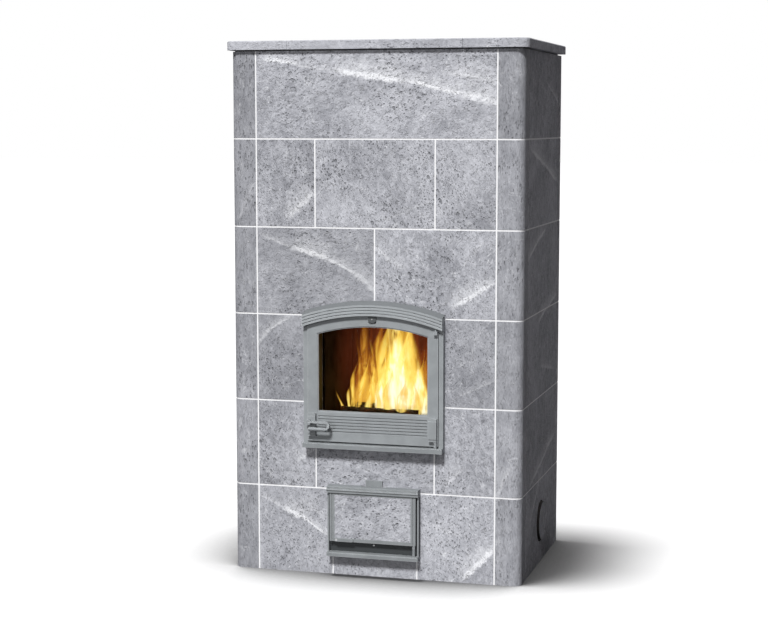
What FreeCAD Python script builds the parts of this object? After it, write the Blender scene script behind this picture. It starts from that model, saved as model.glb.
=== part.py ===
"""Soapstone masonry heater with a cast-iron firebox door and an ash door.

Frame: +X to the right of someone facing the heater, +Y into it, +Z up, millimetres.
The origin is on the floor under the middle of the stone body. "Out" is the distance in front of
the front stone face.
"""
import FreeCAD, Part
import math
import os
from types import SimpleNamespace

import Sketcher

# Driving dimensions, alias: (value, meaning)
SIZES = {
    # Stone shell
    "body_width": (1020, "width of the stone body"),
    "body_depth": (690, "depth of the stone body"),
    "course_pitch": (300, "height of one course with its joint"),
    "joint_gap": (5, "mortar joint"),
    "corner_width": (90, "face of a corner stone, to the joint's middle"),
    "corner_radius": (30, "rounding of the front corner stones"),
    "back_thickness": (50, "back stones, to the joint's middle"),
    "mortar_recess": (0.8, "mortar behind the stone face"),
    "slab_thickness": (30, "cover slab"),
    "slab_overhang": (15, "cover slab beyond the front and sides"),
    "slab_edge": (3, "bevel round the cover slab's top"),
    "slab_end": (220, "length of the cover slab's end pieces"),
    "slab_seam": (1, "seam between two pieces of the cover slab"),
    "shadow_gap": (5, "open joint under the cover slab"),
    "shadow_depth": (12, "depth of that open joint"),
    "door_sill": (480, "top of the stone below the firebox opening"),
    "ash_sill": (134, "top of the stone below the ash opening"),
    # Core
    "core_wall": (75, "core stones"),
    "firebox_half": (205, "half the firebox width"),
    "firebox_depth": (337, "firebox, front to back"),
    "firebox_height": (450, "firebox, floor to ceiling"),
    "firebox_rows": (3, "rows of firebox wall stones"),
    "floor_thickness": (60, "firebox floor stones"),
    "base_height": (60, "base slab"),
    "pit_reveal": (10, "ash pit beyond the sides of its opening"),
    "ceiling_thickness": (70, "stones over the firebox"),
    "lintel_depth": (150, "stone over the front of the firebox"),
    "throat_depth": (130, "slot for the flames above the firebox"),
    "lining_thickness": (40, "front lining of the upper chamber"),
    "crossover_height": (140, "gas passage over the upper chamber walls"),
    "core_top_thickness": (60, "slab over the gas passages"),
    "insulation_thickness": (35, "board above the core"),
    # Grate
    "grate_width": (190, "grate opening, left to right"),
    "grate_depth": (230, "grate opening, front to back"),
    "grate_lip": (12, "rim of the grate on the floor stones"),
    "grate_rim": (6, "thickness of that rim"),
    "grate_body": (20, "depth of the grate below its rim"),
    "grate_slots": (7, "slots in the grate"),
    "slot_width": (11, "one slot"),
    "slot_margin": (20, "solid edge round the slots"),
    # Flue and soot hatches
    "flue_radius": (90, "inside of the flue collar"),
    "flue_height": (175, "flue centre above the floor"),
    "collar_wall": (4, "flue collar wall"),
    "collar_reach": (40, "collar beyond the back of the stone"),
    "collar_flange": (22, "width of the collar's flange"),
    "hatch_radius": (74, "soot hatch hole"),
    "hatch_height": (147, "soot hatch centre above the floor"),
    "hatch_offset": (20, "soot hatch behind the middle of the side"),
    "plug_length": (62, "soot hatch plug"),
    "plug_stand": (8, "face of a plug beyond the side stone"),
    "plug_groove": (5, "width of the groove round the plug"),
    "plug_groove_depth": (10, "depth of that groove"),
    "loose_fit": (0.4, "clearance round plugs and slides"),
    # Firebox door frame
    "frame_half": (246, "half the width of the door frame"),
    "frame_lap": (36, "door frame over the stone, to the joint's middle"),
    "frame_below": (33, "frame below the stone sill"),
    "flange_thickness": (10, "frame plate on the stone"),
    "stile_width": (15, "raised stile beside the leaf"),
    "stile_out": (24, "front of the stile"),
    "sleeve_wall": (5, "sleeve in the stone opening"),
    "sleeve_depth": (45, "reach of the sleeve into the stone"),
    "sleeve_gap": (4, "sleeve to stone"),
    "arch_rise": (43, "rise of the hood's lower edge"),
    "arch_lift": (5, "crown of that edge above the lintel stones"),
    "hood_height": (49, "hood, lower edge to top"),
    "hood_out": (42, "front of the hood"),
    "hood_bevel": (12, "height of the hood's sloping top"),
    "hood_ribs": (4, "ribs on the hood"),
    "rib_groove": (3.4, "groove between two ribs"),
    "rib_depth": (3, "depth of the grooves"),
    "sill_height": (17, "sill bar"),
    "sill_out": (42, "front of the sill bar"),
    "sill_bevel": (3, "bevel along the sill bar's top"),
    # Firebox door leaf
    "leaf_gap": (1.5, "leaf to stile"),
    "leaf_rise": (23, "bottom of the leaf above the frame's bottom"),
    "leaf_back": (16, "back of both leaves in front of the stone"),
    "leaf_thickness": (12, "firebox door leaf"),
    "leaf_top_gap": (2.5, "leaf to hood"),
    "leaf_rim": (37.5, "leaf beside the window"),
    "window_rise": (128, "window sill above the frame's bottom"),
    "window_band": (38, "leaf above the window"),
    "window_step": (4, "width of the step round the window"),
    "window_step_depth": (3, "depth of that step"),
    "band_grooves": (6, "grooves below the window"),
    "band_pitch": (10.5, "pitch of those grooves"),
    "band_drop": (18, "first groove below the window"),
    "band_groove": (4.5, "width of one groove"),
    "boss_width": (28, "bosses on the leaf"),
    "boss_height": (78, "bosses on the leaf"),
    "boss_rise": (41, "bosses above the frame's bottom"),
    "boss_inset": (4, "bosses from the stile"),
    "boss_out": (44, "front of the bosses"),
    "boss_step": (9, "step at the ends of a boss"),
    "boss_step_depth": (3, "depth of that step"),
    "hinge_inset": (9, "hinge axis from the stile"),
    "hinge_out": (34, "hinge axis in front of the stone"),
    "pin_radius": (3, "hinge pins"),
    "pin_collar": (5.5, "radius of the collar under a leaf"),
    "pin_grip": (12, "hinge pin in what carries it"),
    "pin_depth": (30, "hinge pin in the leaf"),
    "pin_fit": (0.1, "clearance round a pin"),
    "lug_width": (13, "lug at the top of the leaf"),
    "lug_height": (12, "lug at the top of the leaf"),
    "glass_thickness": (4, "pane"),
    "glass_lap": (8, "pane beyond the window"),
    "gasket_thickness": (1.5, "gasket under the pane"),
    "clip_width": (20, "glass clips"),
    "clip_thickness": (2, "glass clips"),
    "clip_lap": (6, "clip over the pane"),
    "clip_foot": (10, "clip foot on the leaf"),
    "clip_spread": (110, "clips from the middle of the door"),
    "seal_width": (7, "rope seal of the firebox door"),
    "seal_inset": (1.5, "rope seal from the frame's opening"),
    "seal_fit": (0.3, "rope seal to the frame"),
    # Handle and latches
    "handle_inset": (11.5, "handle axis from the stile"),
    "handle_rise": (91, "handle axis above the frame's bottom"),
    "handle_radius": (6.5, "grip of the handle"),
    "handle_length": (62, "grip of the handle, to the bend"),
    "handle_strap": (7, "thickness of the strap that carries the grip"),
    "handle_spread": (23, "strap to grip, between their middles"),
    "handle_tilt": (15, "lean of the grip, in degrees"),
    "grip_bevel": (3, "bevel at the end of the grip"),
    "handle_clear": (3, "handle in front of its boss"),
    "hub_radius": (9, "hub of the handle"),
    "spindle_radius": (3.5, "latch spindles"),
    "spindle_seat": (8, "latch spindle in the handle's hub"),
    "cam_radius": (5.4, "latch cams"),
    "cam_throw": (1.2, "offset of the latch cams"),
    "cam_thickness": (4, "latch cams"),
    "keeper_width": (12, "latch keepers"),
    "keeper_height": (4, "latch keepers"),
    # Air slide in the top of the door leaf
    "tab_half": (14, "half the width of the air tab"),
    "tab_height": (20.5, "air tab"),
    "tab_bevel": (6, "bevel at the tab's lower corners"),
    "tab_thickness": (5, "air tab"),
    "tab_stem": (4, "half the width of the tab's stem"),
    "air_slot": (6, "height of the air slot in the leaf"),
    "air_slot_drop": (21, "middle of the air slot below the top of the leaf"),
    "shutter_half": (24, "half the length of the shutter behind the slot"),
    "shutter_lap": (3, "shutter over the edges of the slot"),
    "shutter_thickness": (3, "shutter"),
    "slide_travel": (9, "travel of the upper slide each way"),
    # Ash door
    "ash_frame_half": (162, "half the width of the ash door frame"),
    "ash_frame_lap": (12, "ash door frame over the stone, to the joint's middle"),
    "ash_frame_bottom": (71, "bottom of the ash door frame"),
    "ash_frame_rise": (16, "top of the ash door frame above the first joint"),
    "ash_hood_height": (23, "ash door hood"),
    "ash_hood_out": (38, "front of the ash door hood"),
    "ash_sill_height": (14, "ash door sill bar"),
    "ash_stile_width": (5, "stile beside the ash door"),
    "ash_leaf_gap": (4.5, "ash door leaf to stile"),
    "ash_leaf_rise": (52, "bottom of the ash leaf above its frame's bottom"),
    "ash_leaf_thickness": (14, "ash door leaf"),
    "ash_hinge_inset": (7, "hinge axis from the edge of the ash leaf"),
    "ash_reveal": (20, "ash opening inside the joints beside it"),
    "ash_opening_top": (15, "that opening below the first joint"),
    "ash_rim": (17.5, "ash leaf beside its stone panel"),
    "panel_rise": (12, "stone panel above the bottom of the leaf"),
    "panel_top": (5, "stone panel below the top of the leaf"),
    "panel_thickness": (10, "stone panel"),
    "panel_recess": (1, "stone panel behind the leaf's front"),
    "rim_groove": (3, "groove along the sides of the ash leaf"),
    "latch_rise": (6, "latch axis above the bottom of the leaf"),
    "latch_inset": (25, "latch axis from the edge of the leaf"),
    "latch_length": (60, "latch lever beyond its axis"),
    "latch_height": (11, "latch lever"),
    "latch_thickness": (5, "latch lever"),
    "screw_radius": (4, "head of the apron screw"),
    "screw_height": (112, "apron screw above the floor"),
    # Air slide above the ash door
    "lever_half": (29, "half the width of the air lever"),
    "lever_height": (21, "air lever above the frame"),
    "lever_thickness": (6, "air lever"),
    "lever_stem": (12, "half the width of the lever's stem"),
    "lever_depth": (20, "stem in the frame"),
    "lever_travel": (30, "travel of the air lever each way"),
    # Ash pan
    "pan_clear": (30, "ash pan to the sides of the ash opening"),
    "pan_length": (350, "ash pan"),
    "pan_height": (70, "ash pan"),
    "pan_wall": (1.5, "sheet of the ash pan"),
    "pan_front": (45, "ash pan behind the front stone face"),
    "pull_half": (30, "half the width of the pan's pull"),
    "pull_reach": (22, "reach of the pan's pull"),
    "pull_strap": (4, "thickness of the pan's pull"),
    "pull_height": (12, "height of the pan's pull"),
}

COURSES = 6
HOOD_SWEEP = 50
ARCH_COURSE = 3

doc = FreeCAD.newDocument("masonry_heater")
sheet = doc.addObject("Spreadsheet::Sheet", "Sizes")
for row, (alias, (value, meaning)) in enumerate(SIZES.items(), start=1):
    sheet.set(f"A{row}", meaning)
    sheet.set(f"B{row}", str(value))
    sheet.setAlias(f"B{row}", alias)
doc.recompute()

nodes = []


# Sizes that carry their spreadsheet expression

def number(value):
    return value.number if isinstance(value, Size) else value


def text(value):
    return value.text if isinstance(value, Size) else repr(value)


class Size:
    """A length, with the spreadsheet expression that gives it."""

    def __init__(self, number, text):
        self.number = number
        self.text = text

    def __add__(self, other):
        return Size(self.number + number(other), f"({self.text} + {text(other)})")

    def __radd__(self, other):
        return Size(other + self.number, f"({other!r} + {self.text})")

    def __sub__(self, other):
        return Size(self.number - number(other), f"({self.text} - {text(other)})")

    def __rsub__(self, other):
        return Size(other - self.number, f"({other!r} - {self.text})")

    def __mul__(self, other):
        return Size(self.number * number(other), f"{self.text} * {text(other)}")

    __rmul__ = __mul__

    def __truediv__(self, other):
        return Size(self.number / number(other), f"({self.text}) / ({text(other)})")

    def __neg__(self):
        return Size(-self.number, f"(0 - {self.text})")


def root(value):
    return Size(math.sqrt(value.number), f"sqrt({value.text})")


s = SimpleNamespace(**{alias: Size(float(sheet.get(alias)), f"Sizes.{alias}") for alias in SIZES})


def bind(thing, prop, value):
    thing.setExpression(prop, text(value))


# Levels and planes that several pieces share

half_width = s.body_width / 2
front = -(s.body_depth / 2)
back = s.body_depth / 2
half_joint = s.joint_gap / 2
panel = half_width - s.corner_width
quarter = panel / 2
shell = s.corner_width - half_joint
inner_x = panel + half_joint
inner_front = front + shell
inner_back = back - s.back_thickness + half_joint
shell_top = COURSES * s.course_pitch - s.shadow_gap
slab_bottom = COURSES * s.course_pitch

core_x = s.firebox_half + s.core_wall
firebox_back = inner_front + s.firebox_depth
core_back = firebox_back + s.core_wall
floor_bottom = s.door_sill - s.floor_thickness
firebox_top = s.door_sill + s.firebox_height
ceiling_top = firebox_top + s.ceiling_thickness
core_top = shell_top - s.insulation_thickness
crossover_top = core_top - s.core_top_thickness

frame_bottom = s.door_sill - s.frame_below
lintel = ARCH_COURSE * s.course_pitch + half_joint
arch_crown = lintel + s.arch_lift
arch_radius = (s.frame_half * s.frame_half + s.arch_rise * s.arch_rise) / (2 * s.arch_rise)
arch_centre = arch_crown - arch_radius
hood_end = arch_crown - s.arch_rise
door_half = s.frame_half - s.frame_lap
sleeve_half = door_half - s.sleeve_gap
opening_half = sleeve_half - s.sleeve_wall
sleeve_bottom = s.door_sill + s.sleeve_gap
opening_bottom = sleeve_bottom + s.sleeve_wall
sleeve_radius = arch_radius - s.arch_lift - s.sleeve_gap
opening_radius = sleeve_radius - s.sleeve_wall
stile_edge = s.frame_half - s.stile_width
leaf_half = stile_edge - s.leaf_gap
window_half = leaf_half - s.leaf_rim
leaf_bottom = frame_bottom + s.leaf_rise
leaf_radius = arch_radius - s.leaf_top_gap
leaf_front = s.leaf_back + s.leaf_thickness
window_bottom = frame_bottom + s.window_rise
window_radius = leaf_radius - s.window_band
hinge_x = stile_edge - s.hinge_inset
boss_bottom = frame_bottom + s.boss_rise
boss_top = boss_bottom + s.boss_height
sill_top = frame_bottom + s.sill_height
handle_x = -(stile_edge - s.handle_inset)
handle_z = frame_bottom + s.handle_rise
glass_back = s.leaf_back - s.gasket_thickness - s.glass_thickness
air_slot_z = arch_crown - s.leaf_top_gap - s.air_slot_drop

ash_top = s.course_pitch + s.ash_frame_rise
ash_hood_bottom = ash_top - s.ash_hood_height
ash_sill_top = s.ash_frame_bottom + s.ash_sill_height
ash_half = s.ash_frame_half - s.ash_frame_lap
ash_opening_half = ash_half - s.ash_reveal
ash_leaf_half = s.ash_frame_half - s.ash_stile_width - s.ash_leaf_gap
panel_half = ash_leaf_half - s.ash_rim
pan_half = ash_opening_half - s.pan_clear
ash_leaf_bottom = s.ash_frame_bottom + s.ash_leaf_rise
ash_leaf_top = ash_hood_bottom - s.leaf_top_gap
ash_leaf_front = s.leaf_back + s.ash_leaf_thickness
ash_hinge_x = ash_leaf_half - s.ash_hinge_inset
ash_hinge_out = s.leaf_back + s.ash_leaf_thickness / 2
ash_sleeve_bottom = s.ash_sill + s.loose_fit
ash_opening_bottom = ash_sleeve_bottom + s.sleeve_wall
ash_opening_top = s.course_pitch - s.ash_opening_top
latch_x = -(ash_leaf_half - s.latch_inset)
latch_z = ash_leaf_bottom + s.latch_rise
cam_front = s.leaf_back - s.loose_fit


# Solids, sketches and features

def block(label, x, y, z):
    """A squared stone between two places on each axis."""
    box = doc.addObject("Part::Box", label)
    for side, axis, (low, high) in zip(("Length", "Width", "Height"), "xyz", (x, y, z)):
        bind(box, side, high - low)
        bind(box, f"Placement.Base.{axis}", low)
    return box


def node(thing):
    nodes.append(thing)
    return thing


def group(label, things):
    """Separate solids of one kind, kept together under one name."""
    compound = doc.addObject("Part::Compound", label)
    compound.Links = things
    return node(compound)


def body(label, y=front):
    """A body whose own XZ plane lies on the front stone face."""
    part = doc.addObject("PartDesign::Body", label)
    bind(part, "Placement.Base.y", y)
    return part


def sketch_on(part, plane, level=0, lift=0):
    """A sketch on one of the body's own planes, moved along its normal and its upright axis."""
    drawing = part.newObject("Sketcher::SketchObject", "profile")
    support = next(each for each in part.Origin.OriginFeatures if each.Role == plane)
    drawing.AttachmentSupport = [(support, "")]
    drawing.MapMode = "FlatFace"
    bind(drawing, "AttachmentOffset.Base.z", level)
    bind(drawing, "AttachmentOffset.Base.y", lift)
    return drawing


def facing(part, out=0):
    """A sketch seen from the front, at a distance out from the stone."""
    return sketch_on(part, "XZ_Plane", out)


def side_on(part, x=0, lift=0):
    return sketch_on(part, "YZ_Plane", x, lift)


def from_above(part, z=0):
    return sketch_on(part, "XY_Plane", z)


def fix(drawing, kind, geometry, end, value):
    """Holds a point at a distance from the sketch's origin."""
    if not isinstance(value, Size) and value == 0:
        axis = -2 if kind == "DistanceX" else -1
        drawing.addConstraint(Sketcher.Constraint("PointOnObject", geometry, end, axis))
        return
    index = drawing.addConstraint(Sketcher.Constraint(kind, -1, 1, geometry, end, number(value)))
    drawing.setExpression(f"Constraints[{index}]", text(value))


def outline(drawing, points):
    """Straight lines through the points, closed."""
    corners = [FreeCAD.Vector(number(x), number(y), 0) for x, y in points]
    lines = [drawing.addGeometry(Part.LineSegment(start, end))
             for start, end in zip(corners, corners[1:] + corners[:1])]
    for line, following in zip(lines, lines[1:] + lines[:1]):
        drawing.addConstraint(Sketcher.Constraint("Coincident", line, 2, following, 1))
    for line, (x, y) in zip(lines, points):
        fix(drawing, "DistanceX", line, 1, x)
        fix(drawing, "DistanceY", line, 1, y)


def rectangle(drawing, x, y):
    outline(drawing, [(x[0], y[0]), (x[1], y[0]), (x[1], y[1]), (x[0], y[1])])


def circle(drawing, x, y, radius):
    centre = FreeCAD.Vector(number(x), number(y), 0)
    ring = drawing.addGeometry(Part.Circle(centre, FreeCAD.Vector(0, 0, 1), number(radius)))
    index = drawing.addConstraint(Sketcher.Constraint("Radius", ring, number(radius)))
    drawing.setExpression(f"Constraints[{index}]", text(radius))
    fix(drawing, "DistanceX", ring, 3, x)
    fix(drawing, "DistanceY", ring, 3, y)


def arch(drawing, half, bottom, radius):
    """A door outline: flat bottom, upright sides, and a top struck from the common centre."""
    wide, low, reach, centre = (number(each) for each in (half, bottom, radius, arch_centre))
    spring = centre + math.sqrt(reach ** 2 - wide ** 2)
    turn = math.asin(wide / reach)
    points = [FreeCAD.Vector(x, y, 0) for x, y in
              ((-wide, spring), (-wide, low), (wide, low), (wide, spring))]
    left, base, right = (drawing.addGeometry(Part.LineSegment(start, end))
                         for start, end in zip(points, points[1:]))
    ring = Part.Circle(FreeCAD.Vector(0, centre, 0), FreeCAD.Vector(0, 0, 1), reach)
    top = drawing.addGeometry(Part.ArcOfCircle(ring, math.pi / 2 - turn, math.pi / 2 + turn))
    for joint in ((left, 2, base, 1), (base, 2, right, 1), (right, 2, top, 1), (top, 2, left, 1)):
        drawing.addConstraint(Sketcher.Constraint("Coincident", *joint))
    drawing.addConstraint(Sketcher.Constraint("Vertical", left))
    drawing.addConstraint(Sketcher.Constraint("Vertical", right))
    drawing.addConstraint(Sketcher.Constraint("Horizontal", base))
    index = drawing.addConstraint(Sketcher.Constraint("Radius", top, reach))
    drawing.setExpression(f"Constraints[{index}]", text(radius))
    fix(drawing, "DistanceX", top, 3, 0)
    fix(drawing, "DistanceY", top, 3, arch_centre)
    fix(drawing, "DistanceX", base, 1, -half)
    fix(drawing, "DistanceX", base, 2, half)
    fix(drawing, "DistanceY", base, 1, bottom)


def pad(part, drawing, length, backwards=False, centred=False):
    feature = part.newObject("PartDesign::Pad", "pad")
    feature.Profile = drawing
    bind(feature, "Length", length)
    feature.Reversed = backwards
    feature.Midplane = centred
    return feature


def cut(part, drawing, length, forwards=False, centred=False):
    feature = part.newObject("PartDesign::Pocket", "cut")
    feature.Profile = drawing
    bind(feature, "Length", length)
    feature.Reversed = forwards
    feature.Midplane = centred
    return feature


def turned(part, drawing, axis="H_Axis", angle=360):
    feature = part.newObject("PartDesign::Revolution", "turned")
    feature.Profile = drawing
    feature.ReferenceAxis = (drawing, [axis])
    feature.Midplane = True
    feature.Angle = angle
    return feature


def pillar(part, x, y, z, radius):
    """An upright round bar in a body, between two heights."""
    drawing = from_above(part, z[0])
    circle(drawing, x, y, radius)
    return pad(part, drawing, z[1] - z[0])


def drilled(part, x, y, z, radius):
    """An upright round hole between two heights."""
    drawing = from_above(part, z[1])
    circle(drawing, x, y, radius)
    return cut(part, drawing, z[1] - z[0])


def corner_block(label, side, z, inset):
    """A square stone or mortar bed at a front corner, rounded outside."""
    part = doc.addObject("PartDesign::Body", label)
    drawing = from_above(part, z[0])
    near = side * inner_x
    far = side * (half_width - inset)
    rectangle(drawing, (near, far), (front + inset, inner_front))
    upright = pad(part, drawing, z[1] - z[0])
    doc.recompute()
    rounded = part.newObject("PartDesign::Fillet", "rounded")
    rounded.Base = (upright, [outer_edge(upright, number(far), number(front + inset))])
    bind(rounded, "Radius", s.corner_radius - inset)
    return part


def outer_edge(feature, x, y):
    """The name of the upright edge at a place on the plan."""
    for index, edge in enumerate(feature.Shape.Edges, start=1):
        ends = [vertex.Point for vertex in edge.Vertexes]
        if all(abs(point.x - x) < 1e-6 and abs(point.y - y) < 1e-6 for point in ends):
            return f"Edge{index}"
    raise ValueError("no upright edge there")


# Stone shell

def course(level):
    """Bottom and top of the stones in one course, counted from the floor."""
    low = level * s.course_pitch + half_joint if level else 0 * half_joint
    high = shell_top if level == COURSES - 1 else (level + 1) * s.course_pitch - half_joint
    return low, high


def front_stones():
    """Front slabs, by course from the floor up, between the middles of their upright joints."""
    ash, door = ash_half, door_half
    middle = quarter - quarter
    rows = [
        {"left": (-panel, -ash), "sill": (-ash, ash), "right": (ash, panel)},
        {"left": (-panel, -door), "middle": (-door, door), "right": (door, panel)},
        {"left": (-panel, -door), "right": (door, panel)},
        {"left": (-panel, middle), "right": (middle, panel)},
        {"left": (-panel, -quarter), "middle": (-quarter, quarter), "right": (quarter, panel)},
        {"slab": (-panel, panel)},
    ]
    lowered = {"front_1_sill": s.ash_sill, "front_2_middle": s.door_sill}
    for level, row in enumerate(rows):
        low, high = course(level)
        for place, (left, right) in row.items():
            label = f"front_{level + 1}_{place}"
            x = (left + half_joint, right - half_joint)
            node(block(label, x, (front, inner_front), (low, lowered.get(label, high))))


def corner_stones():
    for side, name in ((-1, "left"), (1, "right")):
        group(f"{name}_corner_stones", [
            corner_block(f"{name}_corner_{level + 1}", side, course(level), 0)
            for level in range(COURSES)])


side_y = (front + s.corner_width + half_joint, back - s.back_thickness - half_joint)
side_spans = {"left": (-half_width, -inner_x), "right": (inner_x, half_width)}


def holed(label, stone, hole):
    """A stone with a round hole through it."""
    pierced = doc.addObject("Part::Cut", label)
    pierced.Base = stone
    pierced.Tool = hole
    return node(pierced)


def bored(label, radius, length, place, turn):
    """A round bar along X or Y, to cut a hole with."""
    bar = doc.addObject("Part::Cylinder", label)
    bind(bar, "Radius", radius)
    bind(bar, "Height", length)
    bar.Placement.Rotation = turn
    for axis, value in zip("xyz", place):
        bind(bar, f"Placement.Base.{axis}", value)
    return bar


ALONG_X = FreeCAD.Rotation(FreeCAD.Vector(0, 1, 0), 90)
ALONG_Y = FreeCAD.Rotation(FreeCAD.Vector(1, 0, 0), -90)


def side_stones():
    slabs = [block(f"{name}_side_{level + 1}", x, side_y, course(level))
             for name, x in side_spans.items() for level in range(1, COURSES)]
    group("side_slabs", slabs)
    for name, x in side_spans.items():
        stone = block(f"{name}_hatch_stone", x, side_y, course(0))
        hole = bored(f"{name}_hatch_hole", s.hatch_radius, shell,
                     (x[0], s.hatch_offset, s.hatch_height), ALONG_X)
        holed(f"{name}_hatch_slab", stone, hole)


back_y = (inner_back, back)


def back_stones():
    stones = []
    for level in range(COURSES):
        for name, x in side_spans.items():
            stones.append(block(f"back_{name}_{level + 1}", x, back_y, course(level)))
        if level:
            stones.append(block(f"back_middle_{level + 1}", (-panel + half_joint, panel - half_joint),
                                back_y, course(level)))
    group("back_stones", stones)
    stone = block("flue_stone", (-panel + half_joint, panel - half_joint), back_y, course(0))
    hole = bored("flue_hole", s.flue_radius + s.collar_wall + s.loose_fit, back - inner_back,
                 (0, inner_back, s.flue_height), ALONG_Y)
    holed("flue_slab", stone, hole)


def mortar():
    """Bed joints under each course, and the upright joints of every course."""
    recess = s.mortar_recess
    face = (front + recess, inner_front)
    openings = {1: ash_half - half_joint, 2: door_half + half_joint, 3: door_half + half_joint}
    beds = []
    for level in range(1, COURSES):
        z = (level * s.course_pitch - half_joint, level * s.course_pitch + half_joint)
        label = f"bed_{level}"
        for side, name in ((-1, "left"), (1, "right")):
            beds.append(corner_block(f"{label}_{name}_corner", side, z, recess))
        if level in openings:
            beds.append(block(f"{label}_front_left", (-inner_x, -openings[level]), face, z))
            beds.append(block(f"{label}_front_right", (openings[level], inner_x), face, z))
        else:
            beds.append(block(f"{label}_front", (-inner_x, inner_x), face, z))
        sides = (inner_front, inner_back)
        beds.append(block(f"{label}_left", (-half_width + recess, -inner_x), sides, z))
        beds.append(block(f"{label}_right", (inner_x, half_width - recess), sides, z))
        beds.append(block(f"{label}_back", (-half_width + recess, half_width - recess),
                          (inner_back, back - recess), z))
    uprights = []

    def upright(name, middle, z):
        uprights.append(block(name, (middle - half_joint, middle + half_joint), face, z))

    between = {0: [(ash_half, s.ash_sill)], 1: [(door_half, s.door_sill)], 4: [(quarter, None)]}
    for level in range(COURSES):
        z = course(level)
        for side, name in ((-1, "left"), (1, "right")):
            label = f"upright_{level + 1}_{name}"
            upright(f"{label}_corner", side * panel, z)
            for middle, top in between.get(level, []):
                upright(f"{label}_front", side * middle, (z[0], top or z[1]))
            outer = sorted((side * inner_x, side * (half_width - recess)), key=number)
            for place, y in (("side", front + s.corner_width), ("end", back - s.back_thickness)):
                uprights.append(block(f"{label}_{place}", outer, (y - half_joint, y + half_joint), z))
            joint = sorted((side * (panel - half_joint), side * inner_x), key=number)
            uprights.append(block(f"{label}_back", joint, (inner_back, back - recess), z))
    upright("upright_4_middle", quarter - quarter, course(ARCH_COURSE))
    group("mortar_joints", beds + uprights)


def cover():
    """Felt strips that leave the shadow joint open, and the cover slab on them."""
    depth = s.shadow_depth
    z = (shell_top, slab_bottom)
    x = half_width - depth
    group("top_felt", [
        block("felt_front", (-x, x), (front + depth, inner_front), z),
        block("felt_back", (-x, x), (inner_back, back - depth), z),
        block("felt_left", (-x, -inner_x), (inner_front, inner_back), z),
        block("felt_right", (inner_x, x), (inner_front, inner_back), z)])
    edge_x = half_width + s.slab_overhang
    seam = edge_x - s.slab_end
    near = seam - s.slab_seam
    group("cover_slab", [slab_piece("slab_left", (-edge_x, -seam), (-1,)),
                         slab_piece("slab_middle", (-near, near), ()),
                         slab_piece("slab_right", (seam, edge_x), (1,))])


def slab_piece(label, x, rounded_sides):
    """A piece of the cover slab, rounded at its outer front corner and bevelled along its outer edges."""
    part = doc.addObject("PartDesign::Body", label)
    drawing = from_above(part, slab_bottom)
    edge_y = front - s.slab_overhang
    rectangle(drawing, x, (edge_y, back))
    piece = pad(part, drawing, s.slab_thickness)
    doc.recompute()
    for side in rounded_sides:
        corner = outer_edge(piece, max(side * number(end) for end in x) * side, number(edge_y))
        rounded = part.newObject("PartDesign::Fillet", "rounded")
        rounded.Base = (piece, [corner])
        bind(rounded, "Radius", s.corner_radius)
        doc.recompute()
        piece = rounded
    bevelled = part.newObject("PartDesign::Chamfer", "bevelled")
    top = max(piece.Shape.Faces, key=lambda face: face.CenterOfMass.z)
    seams = [number(end) for end in x if abs(number(end)) < number(half_width)]
    names = []
    for index, edge in enumerate(piece.Shape.Edges, start=1):
        on_seam = any(all(abs(vertex.X - end) < 1e-6 for vertex in edge.Vertexes) for end in seams)
        if not on_seam and any(edge.isSame(other) for other in top.Edges):
            names.append(f"Edge{index}")
    bevelled.Base = (piece, names)
    bind(bevelled, "Size", s.slab_edge)
    return part


# Core

def core():
    inside = (-inner_x, inner_x)
    node(block("base_slab", inside, (inner_front, inner_back), (0 * s.base_height, s.base_height)))
    pit = ash_opening_half + s.pit_reveal
    low = (s.base_height, floor_bottom)
    node(block("ash_pit_floor", (-pit, pit), (inner_front, firebox_back),
               (s.base_height, ash_opening_bottom)))
    group("ash_pit_walls", [
        block("ash_pit_left", (-core_x, -pit), (inner_front, firebox_back), low),
        block("ash_pit_right", (pit, core_x), (inner_front, firebox_back), low),
        block("ash_pit_back", (-core_x, core_x), (firebox_back, core_back), low)])
    shaft_x = s.grate_width / 2
    shaft_y = (middle_y - s.grate_depth / 2, middle_y + s.grate_depth / 2)
    floor = (floor_bottom, s.door_sill)
    group("firebox_floor_stones", [
        block("floor_left", (-core_x, -shaft_x), (inner_front, core_back), floor),
        block("floor_right", (shaft_x, core_x), (inner_front, core_back), floor),
        block("floor_front", (-shaft_x, shaft_x), (inner_front, shaft_y[0]), floor),
        block("floor_back", (-shaft_x, shaft_x), (shaft_y[1], core_back), floor)])
    firebox_walls()
    ceiling()
    upper_chamber()


middle_y = (inner_front + firebox_back) / 2


def firebox_walls():
    rows = int(s.firebox_rows.number)
    row_height = s.firebox_height / s.firebox_rows
    side, rear = s.firebox_half, (firebox_back, core_back)
    stones = []
    for row in range(rows):
        z = (s.door_sill + row * row_height, s.door_sill + (row + 1) * row_height)
        stones.append(block(f"firebox_left_{row + 1}", (-core_x, -side), (inner_front, core_back), z))
        stones.append(block(f"firebox_right_{row + 1}", (side, core_x), (inner_front, core_back), z))
        stones.append(block(f"firebox_back_{row + 1}", (-side, side), rear, z))
    group("firebox_wall_stones", stones)


lintel_back = inner_front + s.lintel_depth
throat_back = lintel_back + s.throat_depth


def ceiling():
    """Stones over the firebox, round the slot that lets the flames up."""
    z = (firebox_top, ceiling_top)
    throat = (lintel_back, throat_back)
    group("firebox_ceiling_stones", [
        block("ceiling_front", (-core_x, core_x), (inner_front, lintel_back), z),
        block("ceiling_back", (-core_x, core_x), (throat_back, core_back), z),
        block("ceiling_left", (-core_x, -s.firebox_half), throat, z),
        block("ceiling_right", (s.firebox_half, core_x), throat, z)])


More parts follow.
